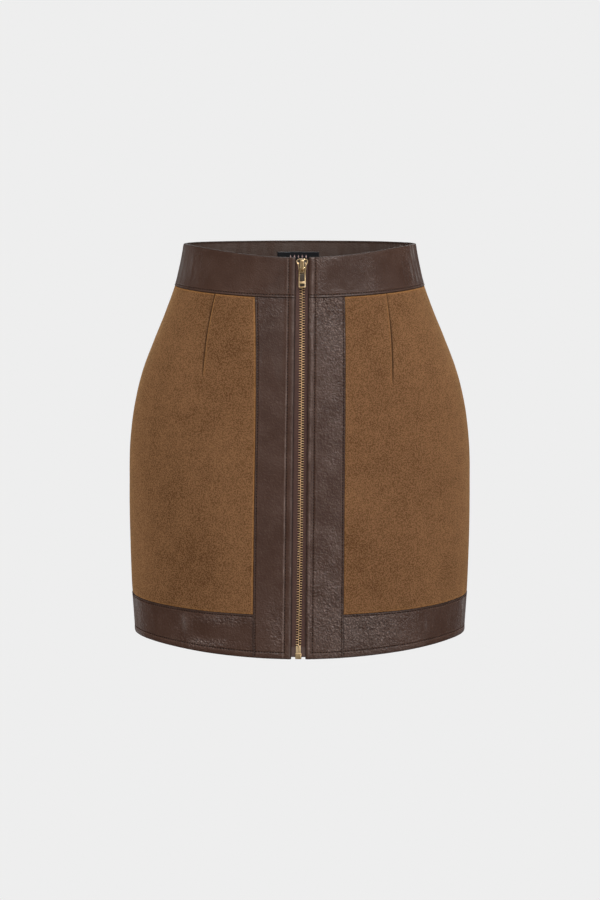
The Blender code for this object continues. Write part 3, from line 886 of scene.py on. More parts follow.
class Finish:
    """A material with one Principled shader, and ways to add nodes to it."""

    def __init__(self, name, **shader):
        self.material = bpy.data.materials.new(name)
        self.material.use_nodes = True
        self.tree = self.material.node_tree
        self.shader = self.tree.nodes["Principled BSDF"]
        self.set(**shader)

    def set(self, **inputs):
        for key, value in inputs.items():
            self.put(self.shader, key.replace("_", " "), value)
        return self.material

    def put(self, node, key, value):
        """Sets or links a node's input, found by its identifier or its name."""
        into = next((s for s in node.inputs if s.identifier == key), None) or node.inputs[key]
        if isinstance(value, Wire):
            self.tree.links.new(value.socket, into)
        else:
            into.default_value = (*value, 1) if into.type == "RGBA" else value

    def node(self, kind, settings=None, values=None, output=0):
        """A node's output. Its settings are set first, then its inputs' values or links."""
        made = self.tree.nodes.new("ShaderNode" + kind)
        for key, value in (settings or {}).items():
            setattr(made, key, value)
        for key, value in (values or {}).items():
            self.put(made, key, value)
        found = next((s for s in made.outputs if s.identifier == output), None) or made.outputs[output]
        return Wire(self, found)

    def math(self, operation, a, b=0.0):
        return self.node("Math", {"operation": operation}, {0: a, 1: b})

    def place(self):
        return self.node("TexCoord", output="Object")

    def flat_place(self):
        """Across and down the cloth before it was shaped."""
        return self.split(self.node("UVMap", {"uv_map": "cloth"}))[:2]

    def mark(self, name):
        return self.node("Attribute", {"attribute_name": name}, output="Fac")

    def stretched(self, vector, scale):
        return self.node("Mapping", values={"Vector": vector, "Scale": scale})

    def noise(self, vector, scale, detail=2.0, roughness=0.5, output=0):
        values = {"Vector": vector, "Scale": scale, "Detail": detail, "Roughness": roughness}
        return self.node("TexNoise", values=values, output=output)

    def split(self, vector):
        """The three parts of a vector."""
        parts = self.node("SeparateXYZ", values={"Vector": vector}).socket.node.outputs
        return [Wire(self, part) for part in parts]

    def blend(self, share, a, b):
        values = {"Factor_Float": share, "A_Color": a, "B_Color": b}
        return self.node("Mix", {"data_type": "RGBA"}, values, "Result_Color")

    def plus(self, vector, other):
        return self.node("VectorMath", {"operation": "ADD"}, {0: vector, 1: other})

    def bump(self, height, distance, strength):
        return self.node("Bump", values={"Height": height, "Distance": distance, "Strength": strength})


def suede_finish():
    """Brushed nap: dark and light specks, finger-wide mottling, patches that lie the other way, painted light
    and shade from the nap mark, painted highlight lines and glints, and painted shade at the seams and darts."""
    s = Finish("suede", Sheen_Weight=0.20, Sheen_Roughness=0.35, Sheen_Tint=(1.0, 0.62, 0.26))
    s.set(Specular_IOR_Level=0.06)
    at = s.place()
    speck = s.noise(at, 900, 0.0, 0.5).within(0.35, 0.65)
    tuft = s.noise(at, 330, 2.0, 0.6).within(0.3, 0.7)
    patch = s.noise(at, 70, 1.0, 0.6).within(0.3, 0.7)
    broad = s.noise(s.stretched(at, (1, 1, 0.6)), 20, 2.0, 0.5).within(0.3, 0.7)
    # The nap mark brings the nap's patches together with painted light and shade: lighter near both sides,
    # darker under the waistband.
    tone = 0.60 * speck + 0.02 * tuft + 0.17 * patch + 0.14 * broad - 0.02 + 0.22 * s.mark("nap")
    colour = s.blend(tone, (0.092, 0.0415, 0.0165), (0.245, 0.1235, 0.0565))
    # Painted orange highlights: the glint spots and the lines along seams and darts.
    colour = s.blend(0.5 * s.mark("glint"), colour, (0.52, 0.235, 0.070))
    # Painted shade in the seams and along each dart's fold.
    colour = s.blend(0.85 * s.mark("seam"), colour, (0.036, 0.018, 0.010))
    height = 0.7 * speck + 0.3 * tuft
    return s.set(Base_Color=colour, Roughness=0.84 + 0.12 * patch, Normal=s.bump(height, 0.35 * MM, 0.7))


def leather_finish():
    """Coated cloth with a fine embossed grain. Its bump and painted light and shade come from the difference
    of one noise at two near points, light on one side of each fold and dark on the other, strong where the
    grain mark is high, under a soft uneven gloss with a painted sheen. Painted shade darkens the seams, the
    stitch grooves and the needle holes, a painted highlight runs beside each row of stitches, painted
    highlights lie along the lips and at the glints, and the lining side is paler."""
    s = Finish("leather", Specular_IOR_Level=0.34)
    at = s.place()
    wander = s.noise(at, 300, output="Color")
    bent = s.plus(at, s.node("VectorMath", {"operation": "SCALE"}, {0: wander, "Scale": 0.0030}))
    beside = s.plus(bent, (0.5 * MM, 0.0, 0.55 * MM))
    # Painted light and shade of the grain's folds; it also shapes the bump.
    emboss_and_painted_shade = (s.noise(beside, 450, 2.0, 0.55) - s.noise(bent, 450, 2.0, 0.55)).within(-0.24, 0.24)
    crinkle = 1 - abs(s.noise(bent, 230, 1.0, 0.5) - 0.5).within(0.0, 0.16)
    fine = s.noise(at, 800, 0.0, 0.5).within(0.30, 0.70)
    patch = s.noise(at, 55, 3.0, 0.6).within(0.35, 0.65)
    broad = s.noise(at, 14, 2.0, 0.5).within(0.35, 0.65)
    streak = s.noise(s.stretched(at, (1, 1, 0.12)), 110, 2.0, 0.6).within(0.35, 0.65)
    seam, patina, off_in_mm = s.mark("seam"), s.mark("patina"), s.mark("off") * 1000.0
    strong = s.math("MINIMUM", s.mark("grain") * (0.7 + 0.6 * patch), 1.3)
    aside = abs(s.math("FRACT", s.mark("at") + 0.5) - 0.5)
    near = 1 - off_in_mm.within(0.35, 0.75)
    hole = near * (1 - aside.within(0.20, 0.36))
    # A painted highlight, with some wear, in a line beside each row of stitches.
    worn = off_in_mm.within(0.7, 1.0) * (1 - off_in_mm.within(1.2, 1.9)) * (0.4 + 0.6 * patch)
    # The tone carries painted light and shade too: the patina mark and each grain fold's lit and shaded
    # sides.
    tone = 0.18 + 0.18 * patch + 0.20 * broad + 0.18 * (fine - 0.5) + 0.35 * patina
    tone = tone + strong * (emboss_and_painted_shade - 0.5) + 0.75 * worn
    # A painted sheen on grain patches and painted highlights on the folds' lit sides.
    lit = strong * (0.03 + 0.12 * patch + 0.62 * emboss_and_painted_shade.within(0.55, 1.0))
    # How strong the painted lip highlights are.
    painted_lip_highlight = 0.42 * s.mark("shine") * (0.6 + 0.4 * patch)
    colour = s.blend(tone, (0.0405, 0.0178, 0.0110), (0.067, 0.0325, 0.0210))
    # Painted shade on the shaded side of each grain fold.
    colour = s.blend(0.65 * strong * emboss_and_painted_shade.within(0.42, 0.0), colour, (0.010, 0.004, 0.003))
    colour = s.blend(lit, colour, (0.30, 0.215, 0.185))
    # A painted grey sheen where the patina mark is above 0.
    colour = s.blend(0.33 * s.math("MAXIMUM", patina, 0.0), colour, (0.085, 0.080, 0.076))
    # Painted highlights at the glint spots.
    colour = s.blend(0.38 * s.mark("glint"), colour, (0.25, 0.23, 0.215))
    # Painted highlights along the rolled lips.
    colour = s.blend(painted_lip_highlight, colour, (0.21, 0.145, 0.122))
    colour = s.blend(s.mark("lining") * (0.40 + 0.45 * streak), colour, (0.094, 0.068, 0.058))
    # Painted shade in the seams, in the groove of each row of stitches and in the needle holes.
    colour = s.blend(s.math("MAXIMUM", 0.94 * seam, 0.30 * near + 0.66 * hole), colour, (0.006, 0.003, 0.002))
    height = strong * (0.5 * crinkle + 0.5 * emboss_and_painted_shade) + 0.06 * fine - 0.12 * hole
    rough = 0.36 - 0.06 * strong + 0.10 * patch + 0.35 * seam + 0.3 * hole
    return s.set(Base_Color=colour, Roughness=rough, Normal=s.bump(height, 1.6 * MM, 1.0))


def thread_finish():
    """Twisted sewing thread, matt, with a fine uneven ply."""
    s = Finish("thread", Roughness=0.7, Specular_IOR_Level=0.15)
    ply = s.noise(s.place(), 2400, 2.0, 0.5)
    colour = s.blend(ply, (0.050, 0.025, 0.017), (0.110, 0.060, 0.043))
    return s.set(Base_Color=colour, Normal=s.bump(ply, 0.08 * MM, 0.5))


def ribs(across, pitch):
    """A sine wave with this distance from crest to crest."""
    return (across * (2 * math.pi / pitch)).sine()


def tape_finish():
    """Woven zip tape: fine ribs down it, crossed by a herringbone of picks, under a clear film at its foot,
    with painted shade between the teeth and along its edges."""
    s = Finish("zip_tape", Specular_IOR_Level=0.18, Sheen_Weight=0.05, Sheen_Roughness=0.5)
    u, v = s.flat_place()
    rib = ribs(u, 0.85 * MM)
    pick = ribs(v + 0.5 * rib * MM * 0.35, 0.62 * MM)
    weave = 0.5 + 0.28 * rib + 0.22 * pick
    worn = s.noise(s.place(), 120, 3.0, 0.6)
    film_end = RIM_HEIGHT - FILM_TOP_DROP
    film = 1 - s.split(s.place())[2].within(film_end - 1.5 * MM, film_end)
    colour = s.blend(0.75 * weave + 0.25 * worn, (0.028, 0.014, 0.011), (0.115, 0.062, 0.050))
    colour = s.blend(0.16 * film, colour, (0.20, 0.165, 0.150))
    # Painted shade between the teeth and along the tape's edges.
    colour = s.blend(s.mark("seam"), colour, (0.010, 0.004, 0.003))
    return s.set(Base_Color=colour, Roughness=0.85 - 0.3 * film, Normal=s.bump(weave, 0.12 * MM, 0.7))


def brass_finish(name, dull, clean, pale):
    """Gold plate: polished, with faint scratches, duller and paler where a highlight is painted, and painted
    shade in its hollows.
    """
    s = Finish(name)
    at = s.place()
    worn, hollow = s.mark("worn"), s.mark("hollow")
    blot = s.noise(at, 420, 3.0, 0.6).within(0.3, 0.7)
    scratch = s.noise(s.stretched(at, (1, 1, 9)), 900, 2.0, 0.5)
    colour = s.blend(blot, dull, clean)
    # Paler where highlights are painted.
    colour = s.blend(0.7 * worn, colour, pale)
    # Painted shade in the hollows.
    colour = s.blend(hollow, colour, (0.020, 0.012, 0.005))
    rough = 0.22 + 0.12 * scratch + 0.2 * worn + 0.2 * hollow
    return s.set(Base_Color=colour, Metallic=1 - 0.80 * worn - hollow, Roughness=rough)


def satin_finish():
    """Black woven label with a shining weft, and a plain row of small pale lozenges."""
    s = Finish("label_satin", Sheen_Weight=0.2)
    u, v = s.flat_place()
    weave = 0.5 + 0.25 * ribs(u, 0.35 * MM) + 0.25 * ribs(v, 0.28 * MM)
    cycle = s.math("FRACT", (u - LABEL_HALF_WIDTH) / (LOZENGE_PITCH * MM) + 0.5)
    aside, along = abs(cycle - 0.5) * LOZENGE_PITCH, abs(v + LOZENGE_DROP) * 1000.0
    lozenge = 1 - (aside * 1.5 + along * 0.55).within(0.9, 1.15)
    mark = lozenge * s.math("LESS_THAN", abs(u - LABEL_HALF_WIDTH), 2.5 * LOZENGE_PITCH * MM)
    colour = s.blend(weave, (0.003, 0.003, 0.004), (0.011, 0.011, 0.013))
    colour = s.blend(mark, colour, (0.50, 0.33, 0.31))
    return s.set(Base_Color=colour, Roughness=0.38 + 0.2 * mark, Normal=s.bump(weave, 0.05 * MM, 0.5))


SUEDE = suede_finish()
LEATHER = leather_finish()
THREAD = thread_finish()
TAPE = tape_finish()
BRASS = brass_finish("brass", (0.66, 0.43, 0.20), (0.80, 0.56, 0.29), (0.92, 0.76, 0.52))
TOOTH_BRASS = brass_finish("tooth_brass", (0.71, 0.44, 0.20), (0.85, 0.56, 0.28), (0.95, 0.70, 0.43))
SATIN = satin_finish()


# ---- cloth ----------------------------------------------------------------------------------------------
def zip_edge(side):
    """Which edge of a front piece runs beside the zip; with the sign turned over, the edge away from it."""
    return "right" if side < 0 else "left"


def dart_line(name):
    """The distance from a dart's line, how deep the dart is there, and how dark the painted shade in its fold
    is.
    """
    depth, top_dark, tip_dark = DARTS[name][4:]
    line = dart_guide(name)

    def find(angle, drop):
        share = dart_share(name, drop)
        fade = np.clip((1 - share) / 0.25, 0, 1) ** 0.5
        shade = fade * (top_dark + (tip_dark - top_dark) * np.clip(1.5 * share, 0, 1))
        return (angle - line(drop)) * half_width(drop), fade * depth, shade

    return find


def dart_shade(dart):
    """Painted shade in a dart's fold: a narrow bell across its line."""

    def dark(angle, drop, margins):
        aside, _, shade = dart(angle, drop)
        return np.clip(shade * bell(aside, 0, 0.75 * MM), 0, 1)

    return dark


def suede_light(dart, seams, inward):
    """A fine painted highlight line just off each seam, of its own strength, where the suede turns in, and
    one beside
    the dart, on the side given by inward: 1 towards wider angles, -1 towards smaller ones."""

    def light(angle, drop, margins):
        aside, _, shade = dart(angle, drop)
        beside = 0.6 * np.clip(shade, 0, 1) * bell(aside * inward, 1.4 * MM, 0.6 * MM)
        lines = [strength * bell(margins[edge], 1.3 * MM, 0.6 * MM) for edge, strength in seams.items()]
        return np.maximum.reduce([beside, *lines])

    return light


def suede_relief(dart, seed):
    """Tucked in at every seam, gathered a little under the waistband, and pinched along its dart."""

    def relief(angle, drop, margins):
        nearest = nearest_edge(margins)
        ends = np.minimum(margins["left"], margins["right"])
        total = turned(nearest, 0.8 * MM) - 0.25 * MM * np.exp(-nearest / (3 * MM))
        total += 0.22 * MM * ripple(arc(angle), seed, 0.060) * np.exp(-margins["top"] / (14 * MM))
        total += 0.18 * MM * ripple(arc(angle), seed + 1, 0.050) * np.exp(-margins["bottom"] / (10 * MM))
        total += 0.15 * MM * ripple(drop, seed + 2, 0.070) * np.exp(-ends / (9 * MM))
        aside, depth, _ = dart(angle, drop)
        return total + depth * (0.35 * bell(aside, 2.4 * MM, 2.0 * MM) - bell(aside, 0, 0.6 * MM))

    return relief


def suede_panel(name, dart_name, guides, edges, seed, seams, inward):
    """A panel of the suede-look cloth, with one dart."""
    dart = dart_line(dart_name)
    return Cut(name, guides, edges, SUEDE_WALL, suede_relief(dart, seed), dark=dart_shade(dart),
               light=suede_light(dart, seams, inward))


def lip_relief(lip, along):
    """Beside the zip: the leather folds round at the edge, rolls up and is held down by the stitches."""
    total = turned(lip, 1.4 * MM) + 0.75 * MM * swell(lip, -0.2 * MM, LIP_STITCH - 0.4 * MM)
    total += 0.45 * MM * swell(lip, LIP_STITCH + 0.3 * MM, LIP_STITCH + 3.6 * MM)
    return total + 0.12 * MM * ripple(along, 5, 0.040) * np.exp(-lip / (12 * MM))


# Where highlights are painted along the rolled lips beside the zip.
LIP_DROPS = (0.050, 0.150, 0.210, 0.400)
LIP_SHINE = {
    # side: (distances from the lip's edge at those drops, half width, strength), lengths in millimetres
    -1: (((1.7, 1.7, 1.7, 1.7), 0.5, 0.90), ((7.4, 7.9, 8.4, 8.5), 0.6, 1.80)),
    1: (((4.3, 3.9, 2.4, 3.2), 0.6, 2.00), ((0.6, 0.6, 0.6, 0.6), 0.4, 0.40)),
}


def lip_shine(side):
    """Painted highlights where the rolled leather beside the zip would catch the light: wandering bells,
    uneven and beaded.
    """

    def shine(angle, drop, margins):
        lip = margins[zip_edge(side)]
        total = np.zeros_like(lip)
        for at, wide, strength in LIP_SHINE[side]:
            total += strength * bell(lip, np.interp(drop, LIP_DROPS, at) * MM, wide * MM)
        beads = np.clip(0.80 + 0.55 * ripple(drop, 71 + side, 0.022), 0.3, 1.3)
        return total * beads * np.clip(0.75 + 0.45 * ripple(drop, 51 + side, 0.060), 0.1, 1.3)

    return shine


def hem_relief(bottom, along):
    """The turned-up hem: rounded at its edge, with a soft uneven roll below the stitches."""
    total = turned(bottom, 1.0 * MM) + 0.30 * MM * swell(bottom, 0, HEM_STITCH)
    return total + 0.15 * MM * ripple(along, 21, 0.045) * np.exp(-bottom / (9 * MM))


def end_relief(ends):
    """Where a piece meets the next one at a seam across it."""
    return turned(ends, 0.7 * MM) - 0.2 * MM * np.exp(-ends / (1.5 * MM))


def band_relief(side):
    """The band beside the zip: a lip, a seam that is padded by what is turned in, and the hem."""

    def relief(angle, drop, margins):
        lip, seam, top = (margins[edge] for edge in (zip_edge(side), zip_edge(-side), "top"))
        total = lip_relief(lip, drop)
        total += turned(seam, 0.8 * MM) + 0.30 * MM * np.exp(-seam / (5 * MM))
        total += turned(top, 0.8 * MM) - 0.3 * MM * np.exp(-top / (2 * MM))
        total += 0.20 * MM * ripple(drop + arc(angle), 11 + side, 0.090) * swell(lip, 6 * MM, 46 * MM)
        return total + hem_relief(margins["bottom"], arc(angle))

    return relief


def hem_band_relief(angle, drop, margins):
    top = margins["top"]
    total = end_relief(np.minimum(margins["left"], margins["right"]))
    total += turned(top, 0.8 * MM) + 0.30 * MM * np.exp(-top / (6 * MM))
    total += 0.20 * MM * ripple(arc(angle), 31, 0.050) * np.exp(-top / (12 * MM))
    return total + hem_relief(margins["bottom"], arc(angle))


def waistband_relief(side):
    """side is -1 or +1 for the front halves, whose edge beside the zip is a lip, and 0 behind."""

    def relief(angle, drop, margins):
        left, right, top, bottom = margins.values()
        total = turned(top, 1.1 * MM) + 0.2 * MM * swell(top, 0, 7 * MM)
        total += turned(bottom, 0.8 * MM) + 0.35 * MM * np.exp(-bottom / (5 * MM))
        total += 0.22 * MM * ripple(arc(angle), 41, 0.055) * np.exp(-bottom / (11 * MM))
        total += 0.20 * MM * ripple(arc(angle), 43, 0.120)
        if side == 0:
            return total + end_relief(np.minimum(left, right))
        return total + lip_relief(margins[zip_edge(side)], drop) + end_relief(margins[zip_edge(-side)])

    return relief


BAND_WIDTH, BAND_LENGTH = 0.0395, 0.367  # of the bands beside the zip, at the hem and down them


def cut_cloth():
    """Every cut piece, named as the CAD node that it stands for."""
    waist_seam, hem_seam, hem = (round_line(name) for name in ("waist_seam", "hem_seam", "hem"))
    waist_edges = (round_line("rim"), moved(waist_seam, OVERLAP))
    panel_edges = (moved(waist_seam, -OVERLAP), moved(hem_seam, OVERLAP))
    band_edges, hem_edges = (moved(waist_seam, -OVERLAP), hem), (moved(hem_seam, -OVERLAP), hem)
    hem_rows, waist_row = (("top", HEM_TOP_STITCH), ("bottom", HEM_STITCH)), ("bottom", WAIST_STITCH)
    for side, word in ((-1, "left"), (1, "right")):
        by_zip, by_seam = zip_edge(side), zip_edge(-side)
        side_seam = fixed_seam(side * SIDE_SEAM_ANGLE, side * OVERLAP)
        lip = upright(opening_x(side))
        panel_side, band_side = (upright(band_seam_x(side, inward)) for inward in (OVERLAP, -OVERLAP))
        corner = LIP_STITCH / BAND_WIDTH
        hem_span = (0.0, 1 - corner) if side < 0 else (corner, 1.0)
        band_rows = (
            (by_zip, LIP_STITCH, 0.0, 1 - HEM_STITCH / BAND_LENGTH),
            (by_seam, BAND_STITCH),
            ("bottom", HEM_STITCH, *hem_span),
        )
        # How strong the painted highlight line is along each of the suede panel's seams.
        seams = {"top": 0.8, "bottom": 0.4, by_zip: 0.42 - 0.22 * side}
        dart = f"front_{word}"
        guides = (panel_side, dart_guide(dart), side_seam)[::side]
        yield suede_panel(f"front_panel_{word}", dart, guides, panel_edges, 7 + side, seams, -side)
        yield Cut(f"waistband_front_{word}", (lip, side_seam)[::side], waist_edges, WAISTBAND_WALL,
                  waistband_relief(side), ((by_zip, LIP_STITCH, 0.03, 1.0), waist_row), (0.07, 0.18),
                  shine=lip_shine(side))
        yield Cut(f"front_band_{word}", (lip, band_side)[::side], band_edges, BAND_WALL, band_relief(side),
                  band_rows, (0.14, 1.0), shine=lip_shine(side))
        yield Cut(f"hem_band_{word}", (panel_side, side_seam)[::side], hem_edges, BAND_WALL, hem_band_relief,
                  hem_rows, (0.12, 1.0))
    side_seams = (fixed_seam(SIDE_SEAM_ANGLE, -OVERLAP), fixed_seam(2 * math.pi - SIDE_SEAM_ANGLE, OVERLAP))
    middle = (fixed_seam(math.pi, OVERLAP), fixed_seam(math.pi, -OVERLAP))
    for word, ends in (("right", (side_seams[0], middle[0])), ("left", (middle[1], side_seams[1]))):
        dart, inward = f"back_{word}", 1 if word == "right" else -1
        yield suede_panel(f"back_panel_{word}", dart, (ends[0], dart_guide(dart), ends[1]), panel_edges, 17,
                          {"top": 0.6, "bottom": 0.3}, inward)
    yield Cut("waistband_back", side_seams, waist_edges, WAISTBAND_WALL, waistband_relief(0), (waist_row,),
              (0.07, 0.25))
    yield Cut("hem_band_back", side_seams, hem_edges, BAND_WALL, hem_band_relief, hem_rows, (0.12, 1.0))


SPACING = {
    # word in the name: (finish, its slot, distance between points across the piece, down it, at its edges)
    "front_panel": (SUEDE, "suede", 2.2 * MM, 2.2 * MM, 0.5 * MM),
    "back_panel": (SUEDE, "suede", 2.8 * MM, 2.2 * MM, 0.5 * MM),
    "front_band": (LEATHER, "leather", 1.5 * MM, 1.5 * MM, 0.35 * MM),
    "waistband": (LEATHER, "leather", 1.5 * MM, 1.6 * MM, 0.35 * MM),
    "hem_band": (LEATHER, "leather", 1.5 * MM, 1.6 * MM, 0.35 * MM),
}


def make_cloth(cuts):
    for cut in cuts:
        finish, slot, *spacing = next(row for word, row in SPACING.items() if word in cut.name)
        declare_cloth(cut.make(finish, *spacing), cut, cut.name, slot)


def declare_cloth(piece, cut, node, slot):
    """Hides the solid that the piece stands for, and works out its flat cut: what its face measures before it
    was shaped.
    """
    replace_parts(piece, node)
    width, length = (round(s + 0.0005, 3) for s in cut.size)
    area = round(min(cut.area, width * length), 5)


def stitch_shape():
    """One stitch along +X on the face z = 0: a thread that rises from one hole and sinks into the next."""
    along = np.linspace(-1, 1, 7)[:, None]
    turn = np.arange(6) * (2 * math.pi / 6)
    radius = 0.30 * MM * np.sqrt(np.clip(1 - 0.85 * np.abs(along) ** 3, 0, 1))
    lift = 0.26 * MM - 0.42 * MM * along**2
    return closed_tube(rings_of(along * 1.05 * MM, radius * np.cos(turn), lift + 0.8 * radius * np.sin(turn)))


def make_stitches(cuts):
    """One joined mesh of stitches for each sewn piece."""
    shape = stitch_shape()
    for cut in cuts:
        if cut.rows:
            runs = [row.stitches(shape) for row in cut.rows]
            add_mesh(f"{cut.name}_stitches", *joined(runs), "skirt", THREAD)


# ---- the zip --------------------------------------------------------------------------------------------
def make_tapes():
    """Each tape is sunk under the teeth's jaws, then has a thin rolled cord just outside them, then is flat.
    Shade is painted on it between the teeth."""
    for side, word in ((-1, "left"), (1, "right")):
        inner = zip_edge(side)

        def relief(angle, drop, margins, inner=inner):
            sunk = -0.25 * MM * (1 - ramp(margins[inner], 1.7 * MM, 2.2 * MM))
            return sunk + 0.22 * MM * swell(margins[inner], 2.0 * MM, 3.6 * MM) - drape(angle, drop)

        # Painted shade near the inner edge, between the teeth.
        def dark(angle, drop, margins, inner=inner):
            return 1 - ramp(margins[inner], 1.8 * MM, 2.6 * MM)

        guides = [upright(zip_x(offset)) for offset in sorted((side * TAPE_HALF_WIDTH, side * TAPE_INNER))]
        edges = [level(drop) for drop in TAPE_DROPS]
        cut = Cut(f"tape_{word}", guides, edges, TAPE_WALL, relief, depth=TAPE_DEPTH, dark=dark)
        declare_cloth(cut.make(TAPE, 0.8 * MM, 4 * MM, 0.25 * MM), cut, f"zip_tape_{word}", "tape")


def add_brass(name, node, shape, marks, body="skirt", finish=BRASS):
    """A metal piece of the zip that stands for a solid."""
    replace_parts(add_mesh(name, *shape, body, finish, marks=marks), node)


TOOTH_PITCH = 2.58 * MM
TOOTH_STAGES = np.array([
    # x     half_high  half_deep, in millimetres
    (-2.80, 0.20, 0.60),
    (-2.60, 0.27, 0.90),
    (-1.60, 0.30, 1.00),
    (-0.90, 0.27, 0.85),
    (-0.40, 0.32, 0.85),
    (0.00, 0.42, 0.85),
    (0.36, 0.36, 0.65),
])


def tooth_shape():
    """One metal tooth along +X: jaws round the tape's cord, a waist, and a head that hooks past the zip's
    middle line."""
    x, high, deep = TOOTH_STAGES.T[..., None] * MM
    up, out = squared_ring(8, 0.62)
    return closed_tube(rings_of(x, high * up, deep * out))


def make_teeth():
    """Two rows of teeth that hook into each other, half a pitch apart."""
    shape = tooth_shape()
    top = SLIDER_DROP + 6.0 * MM
    count = int((PIN_TOP_DROP - top) / TOOTH_PITCH) + 1
    rng = np.random.default_rng(3)
    rows = []
    for side in (-1, 1):
        drop = top + (np.arange(count) + (0.5 if side > 0 else 0.0)) * TOOTH_PITCH
        angle = upright(zip_x(0.0))(drop)
        out, up = skin_out(angle, drop), unit(-skin_steps(angle, drop)[1])
        tilt = rng.normal(0, 0.010, (count, 1))
        along = unit(-side * np.cross(up, out) + tilt * up)
        axes = np.stack([along, unit(np.cross(out, along)), out], 1)
        rows.append(repeated(shape, skin(angle, drop) - out * CHAIN_DEPTH, axes))
    # A painted highlight on each tooth's front, painted shade on its sides and back.
    deep = np.tile(np.clip(0.6 - shape[0][:, 2] / (0.5 * MM), 0, 1), 2 * count)
    marks = {"worn": 0.28 * (1 - deep), "hollow": 0.9 * deep}
    add_brass("zip_teeth", "zip_chain", joined(rows), marks, finish=TOOTH_BRASS)


def bench(drop, middle):
    """A way to put shapes on the zip's middle line: local X across, -Y out of the skin, Z up along it."""
    line = upright(zip_x(0))
    out = skin_out(line(middle), np.float64(middle))
    out = unit(np.array([0.0, out[1], out[2]]))
    origin = np.array([float(zip_x(0)(middle)), *skin(line(drop), np.float64(drop))[1:]])
    across = np.array([1.0, 0.0, 0.0])
    axes = np.stack([across, -out, np.cross(across, -out)])

    def put(shape):
        points, faces = shape
        return points @ axes + origin, faces

    return put


# The metal parts' own shapes, in millimetres from a bench's middle.
def rounded_block(low, high, radius):
    """A block with rounded edges and corners: rings of rounded rectangles that shrink over its two ends."""
    low, high, radius = np.array(low) * MM, np.array(high) * MM, radius * MM
    centre, half = (low + high) / 2, (high - low) / 2 - radius
    quarter = np.linspace(0, math.pi / 2, 4)
    x, y, turn = round_corners(half[0], half[1], len(quarter))
    lift = np.concatenate([-half[2] - radius * np.cos(quarter), half[2] + radius * np.sin(quarter)])
    reach = radius * np.concatenate([np.sin(quarter), np.cos(quarter)])[:, None]
    x, y = centre[0] + x + reach * np.cos(turn), centre[1] + y + reach * np.sin(turn)
    return closed_tube(rings_of(x, y, centre[2] + lift[:, None]))


def swept(path, across, half_wide, half_thick, power, closed=False):
    """A rounded bar carried along a path in a plane. across is the plane's normal, and the bar's width."""
    path, across = np.asarray(path, float) * MM, np.asarray(across, float)
    ahead = np.roll(path, -1, 0) - np.roll(path, 1, 0) if closed else np.gradient(path, axis=0)
    side = unit(np.cross(unit(ahead), across))
    wide, thick = squared_ring(16, power)
    rings = path[:, None] + across * (half_wide * MM * wide)[None, :, None]
    rings = rings + side[:, None] * (half_thick * MM * thick)[None, :, None]
    if not closed:
        return closed_tube(rings)
    return facing_out(rings.reshape(-1, 3), [grid_faces(len(path), 16, wrap=True, loop=True)])


def smooth_path(corners, closed=False):
    """A curve through corner points: Catmull-Rom spans, with six points on each."""
    p = np.asarray(corners, float)
    if closed:
        p = np.concatenate([p[-1:], p, p[:2]])
    else:
        p = np.concatenate([2 * p[:1] - p[1:2], p, 2 * p[-1:] - p[-2:-1]])
    t = np.linspace(0, 1, 6, endpoint=False)[:, None]
    spans = [
        0.5 * (2 * b + (c - a) * t + (2 * a - 5 * b + 4 * c - d) * t**2 + (3 * b - a - 3 * c + d) * t**3)
        for a, b, c, d in zip(p[:-3], p[1:-2], p[2:-1], p[3:])
    ]
    return np.concatenate(spans if closed else [*spans, p[-2:-1]])


SLIDER_SIDE = np.array([
    # half_width  z: one side of the slider's plates, from the top down
    (0.0, 0.0),
    (2.6, 0.0),
    (4.6, -0.5),
    (5.7, -1.9),
    (5.7, -3.6),
    (4.6, -5.6),
    (4.1, -7.6),
    (4.0, -10.6),
    (3.3, -12.3),
    (1.7, -13.9),
    (0.0, -14.8),
])
PLATE_MIDDLE = (0.0, -6.5)
FACE_SHARES = (0.02, 0.25, 0.40, 0.50, 0.58, 0.64, 0.70, 0.76, 0.82, 0.87)
PLATE_STAGES = (
    # share of the outline, depth from the outer face, share of the flange
    *((share, 0.0, 0) for share in FACE_SHARES), (0.92, 0.08, 0), (0.97, 0.28, 0), (1.00, 0.60, 0),
    (1.00, 1.00, 0.6), (0.97, 1.20, 1.0), (0.90, 1.22, 1.0), (0.84, 1.20, 0.6),
    (0.80, 1.20, 0.0), (0.40, 1.20, 0), (0.02, 1.20, 0),
)
BRIDGE = (
    # y     z: the middle line of the bridge that the pull hangs on, from the top down
    (0.9, -0.9), (-0.6, -0.8), (-1.9, -1.1), (-2.55, -2.3), (-2.7, -4.2), (-2.7, -8.4),
    (-2.45, -10.2), (-1.5, -11.3), (-0.3, -11.6), (0.9, -11.6),
)


def pocket(x, z):
    """1 in the round pocket of each of the slider's wings, falling off steeply at its edge."""
    away = np.hypot(np.abs(x) - 3.65, (z + 2.45) * 0.85) / 1.75
    return np.exp(-(away**4))


def slider_plate(front):
    """A plate of the slider: rings shrink from its edge to its middle over both faces, with a flange turned
    towards the other plate along each side, and a round pocket in each wing of the front one."""
    outline = smooth_path(np.concatenate([SLIDER_SIDE, (SLIDER_SIDE * [-1, 1])[::-1][1:-1]]), closed=True)
    x, z = outline.T
    flange = 0.85 * np.clip(np.abs(x) / 3.9 - 0.35, 0, 1) ** 0.5
    flange = flange * np.clip((-z - 1.0) / 2, 0, 1) * np.clip((z + 14.4) / 2, 0, 1)
    rings = []
    for share, depth, turned_in in PLATE_STAGES:
        x, z = (PLATE_MIDDLE + (outline - PLATE_MIDDLE) * share).T
        y = depth + turned_in * flange
        if front and depth < 0.1:
            y = y + 0.75 * pocket(x, z)
        rings.append(np.stack([x, y + 0.3 if front else 6.1 - y, z], -1))
    return closed_tube(np.array(rings) * MM)


